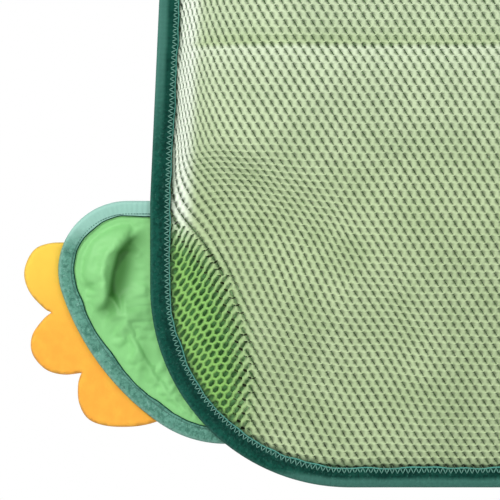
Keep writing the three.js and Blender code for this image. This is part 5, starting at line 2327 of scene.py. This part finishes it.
@dataclass
class Hanger:
    """One tab with its eyelet, one suction cup and the hook that turns on it."""

    side: str
    x: float
    peg_height: float = 454.0 * MM
    tab_bottom: float = 416.0 * MM
    tab_half_width: float = 12.0 * MM
    tab_spacing: float = 1.3 * MM
    tab_round: float = 0.5 * MM
    tab_fuzz: float = 0.03 * MM
    bend_height: float = 430.0 * MM
    bend_reach: float = 4.0 * MM
    bore: float = 6.35 * MM
    wall: float = 0.9 * MM
    flange: float = 10.0 * MM
    flange_thickness: float = 0.8 * MM
    air: float = 0.3 * MM
    play: float = 0.95 * MM
    peg: float = 2.5 * MM
    stitch_half_width: float = 9.5 * MM
    stitch_heights: Pair = (1.6 * MM, 9.4 * MM)
    stitch_step: float = 1.2 * MM
    eyelet_round: float = 0.38 * MM
    cup_round: float = 1.6 * MM
    cap_round: float = 0.6 * MM
    cup_half_mm: tuple = (
        (0.0, -2.6), (10.0, -2.08), (17.0, -0.78), (20.0, 0.0), (23.0, 0.0), (23.0, -1.0), (16.5, -3.575),
        (10.0, -6.5), (4.5, -6.5), (4.5, -11.5), (5.5, -11.5), (6.0, -12.5), (6.0, -14.1), (5.0, -15.1),
        (0.0, -15.1),
    )
    cap_half_mm: tuple = (
        (0.0, -15.5), (6.4, -15.5), (6.4, -11.1), (4.9, -11.1), (4.9, -9.3), (8.2, -9.3), (8.2, -17.3),
        (0.0, -17.3),
    )
    peg_start: float = -16.4 * MM
    bend_y: float = -25.3 * MM
    tip_y: float = -29.3 * MM
    bend: float = 4.0 * MM
    tip_rise: float = 9.0 * MM
    peg_step: float = 0.6 * MM
    box_stitch: Seam = Seam(2.4 * MM, 0.0, 0.22 * MM, 0.24 * MM)

    @property
    def eyelet_height(self) -> float:
        """The height of the eyelet's middle."""
        return self.peg_height + self.peg + self.play - self.bore

    def tab(self, finishes: Wardrobe, sewer: Sewer) -> None:
        """The webbing tab and its box of stitches."""
        middle, thickness = layer(f"{self.side}_tab")
        centre = (self.x, self.eyelet_height)
        low_end = [[self.x + side * self.tab_half_width, self.tab_bottom] for side in (-1.0, 1.0)]
        outline = np.vstack([low_end, arc(centre, self.tab_half_width, 0.0, np.pi)])
        hole = arc(centre, self.bore + self.wall + self.air, 0.0, 2.0 * np.pi, 40)[:-1]
        tab = soft_plate(
            f"{self.side}_tab_webbing", outline, middle, thickness, self.tab_spacing, self.tab_round,
            self.tab_fuzz, None, hole,
        )
        dress(tab, finishes.webbing)
        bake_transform(tab)
        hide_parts(f"{self.side}_tab")
        left, right = self.x - self.stitch_half_width, self.x + self.stitch_half_width
        below, above = (self.tab_bottom + height for height in self.stitch_heights)
        route = even(np.array([
            (left, below), (right, below), (right, above), (left, above), (left, below), (right, above),
            (right, below), (left, above),
        ]), self.stitch_step, False)
        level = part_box(f"{self.side}_tab")[1].y
        thread = sewer.line(
            f"{self.side}_tab_stitches", placed(route, level), upright(outward(route, False)), -USER, False,
            self.box_stitch, finishes.dark_thread,
        )
        rides(thread, "bag")
        declare_cloth(outline, area_of(hole))

    def eyelet(self, finishes: Wardrobe) -> None:
        """The rolled metal ring in the tab."""
        middle, thickness = layer(f"{self.side}_eyelet")
        outside = thickness / 2.0
        inside = outside - self.flange_thickness
        barrel = self.bore + self.wall
        profile = [
            (self.bore, -outside), (self.flange, -outside), (self.flange, -inside), (barrel, -inside),
            (barrel, inside), (self.flange, inside), (self.flange, outside), (self.bore, outside),
        ]
        shifted = [(radius, y + middle) for radius, y in profile]
        soft = rounded(shifted, self.eyelet_round, 6)
        ring = turned(f"{self.side}_eyelet_ring", soft, self.x, self.eyelet_height)
        rides(dress(ring, finishes.nickel), "hangers", f"{self.side}_eyelet")

    def cup(self, finishes: Wardrobe) -> None:
        """The soft cup with its stem and knob."""
        profile = rounded([(radius * MM, y * MM) for radius, y in self.cup_half_mm], self.cup_round, 7)
        cup = turned(f"{self.side}_cup_vinyl", profile, self.x, self.peg_height)
        rides(dress(cup, finishes.vinyl), "wall_cups", f"{self.side}_suction_cup")

    def hook(self, finishes: Wardrobe) -> None:
        """The cap that turns on the knob, and its peg."""
        profile = rounded([(radius * MM, y * MM) for radius, y in self.cap_half_mm], self.cap_round, 6)
        cap = turned(f"{self.side}_hook_cap", profile, self.x, self.peg_height)
        share = np.linspace(0.0, 1.0, 17)[1:, None]
        curve = np.array([(self.bend_y, 0.0), (self.tip_y, 0.0), (self.tip_y, self.bend)])
        bent = mix(mix(curve[0], curve[1], share), mix(curve[1], curve[2], share), share)
        route = np.vstack([[(self.peg_start, 0.0)], curve[:1], bent, [(self.tip_y, self.tip_rise)]])
        line = even(route, self.peg_step, False)
        way = np.gradient(line, axis=0)
        way /= np.linalg.norm(way, axis=1)[:, None]
        close = np.linspace(0.0, 0.47 * np.pi, 9)[1:]
        line = np.vstack([line, line[-1] + way[-1] * (self.peg * np.sin(close))[:, None]])
        radius = np.concatenate([np.full(len(way), self.peg), self.peg * np.cos(close)])
        way = np.vstack([way, np.repeat(way[-1:], len(close), axis=0)])
        turn = np.linspace(0.0, 2.0 * np.pi, 24, endpoint=False)
        sideways = self.x + radius[:, None] * np.cos(turn)
        y = line[:, :1] - way[:, 1:] * radius[:, None] * np.sin(turn)
        z = line[:, 1:] + way[:, :1] * radius[:, None] * np.sin(turn) + self.peg_height + HEM
        along, rings = np.arange(len(line)) * self.peg_step, np.stack([sideways, y, z], axis=2)
        peg = swept(f"{self.side}_hook_peg", rings, False, along, turn * self.peg)
        hook = joined(f"{self.side}_hook_plastic", [cap, peg])
        rides(dress(hook, finishes.plastic), f"{self.side}_swivel", f"{self.side}_hook")

    def built(self, finishes: Wardrobe, sewer: Sewer) -> None:
        """Makes every piece of the hanger."""
        self.eyelet(finishes)
        self.tab(finishes, sewer)
        self.cup(finishes)
        self.hook(finishes)
        LOG.info("%s hanger", self.side)


# The room


@dataclass
class Studio:
    """Camera, light, floor and background."""

    aim: Pair = (-131.0 * MM, 107.0 * MM)
    distance: float = 1.6
    view_width: float = 225.0 * MM
    key_power: float = 14.0
    key_size: float = 0.16
    key_way: Triple = (-0.55, -0.75, 0.55)
    key_colour: Colour = (1.0, 0.99, 0.97)
    front_share: float = 0.35
    front_size: float = 0.9
    front_way: Triple = (0.35, -1.0, 0.1)
    front_colour: Colour = (0.97, 0.99, 1.0)
    fill: float = 0.36
    lamp_distance: float = 1.5
    floor_half: float = 1.2
    floor_drop: float = 0.12
    floor_glow: float = 0.6

    def camera(self) -> None:
        """Looks straight at the low left corner of the bag."""
        data = bpy.data.cameras.new("camera")
        data.sensor_width = 36.0
        data.lens = data.sensor_width * self.distance / self.view_width
        data.clip_start, data.clip_end = 0.05, 20.0
        camera = bpy.data.objects.new("camera", data)
        camera.location = (self.aim[0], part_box("body_binding")[0].y - self.distance, self.aim[1] + HEM)
        camera.rotation_euler = (math.pi / 2.0, 0.0, 0.0)
        bpy.context.scene.collection.objects.link(camera)
        bpy.context.scene.camera = camera

    def lamp(self, name: str, way: Sequence[float], power: float, size: float, colour: Colour) -> None:
        """A soft square lamp that way from the middle of the view, aimed back at it."""
        data = bpy.data.lights.new(name, "AREA")
        data.energy, data.size, data.color = power, size, colour
        lamp = bpy.data.objects.new(name, data)
        middle = Vector((self.aim[0], 0.0, self.aim[1] + HEM))
        direction = Vector(way).normalized()
        lamp.location = middle + direction * self.lamp_distance
        lamp.rotation_mode = "QUATERNION"
        lamp.rotation_quaternion = direction.to_track_quat("Z", "Y")
        bpy.context.scene.collection.objects.link(lamp)

    def world(self) -> None:
        """An even pale fill that the camera, gloss and glass see as white."""
        world = bpy.data.worlds.new("room")
        world.use_nodes = True
        tree = Tree(world.node_tree)
        path = tree.node("ShaderNodeLightPath").outputs
        seen = Num(tree, path["Is Camera Ray"]).sum("MAXIMUM", Num(tree, path["Is Transmission Ray"]))
        seen = seen.sum("MAXIMUM", Num(tree, path["Is Glossy Ray"]))
        back = world.node_tree.nodes["Background"]
        tree.feed(back.inputs["Color"], (1.0, 1.0, 1.0, 1.0))
        tree.feed(back.inputs["Strength"], seen * (1.0 - self.fill) + self.fill)
        bpy.context.scene.world = world

    def floor(self) -> None:
        """A pale floor well below the bag, as it hangs on its wall."""
        half, level = self.floor_half, HEM - self.floor_drop
        corners = [(x * half, y * half, level) for x, y in ((-1, -1), (1, -1), (1, 1), (-1, 1))]
        floor = mesh_object("floor", np.array(corners), [(0, 1, 2, 3)])
        paint = Paint("floor_paint")
        paint.base(paint.blend(paint.noise(3.0).between(0.3, 0.7), (0.88, 0.88, 0.88), (0.84, 0.84, 0.84)))
        paint.rough(0.8)
        seen = Num(paint, paint.node("ShaderNodeLightPath").outputs["Is Camera Ray"]) * self.floor_glow
        glow = paint.first("ShaderNodeEmission", {}, {"Color": (1.0, 1.0, 1.0, 1.0), "Strength": 1.0})
        mixed = paint.first("ShaderNodeMixShader", {}, {0: seen, 1: paint.shader.outputs[0], 2: glow})
        paint.feed(paint.nodes.nodes["Material Output"].inputs["Surface"], mixed)
        floor.data.materials.append(paint.material)

    def built(self) -> None:
        """Sets up the room."""
        bpy.context.scene.view_settings.view_transform = "Standard"
        self.camera()
        self.lamp("key", self.key_way, self.key_power, self.key_size, self.key_colour)
        front_power = self.key_power * self.front_share
        self.lamp("front", self.front_way, front_power, self.front_size, self.front_colour)
        self.world()
        self.floor()


def main() -> None:
    """Builds the organizer piece by piece."""
    logging.basicConfig(level=logging.INFO, format="%(message)s")
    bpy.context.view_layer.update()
    Studio().built()
    finishes = Wardrobe()
    sewer = Sewer()
    body = Body()
    body.built(finishes, sewer)
    Foot(False, body).built(finishes, sewer)
    Foot(True, body).built(finishes, sewer)
    head = Head()
    head.built(finishes, sewer)
    Hanger("left", -head.brow_x).built(finishes, sewer)
    Hanger("right", head.brow_x).built(finishes, sewer)


if __name__ == "__main__":
    main()
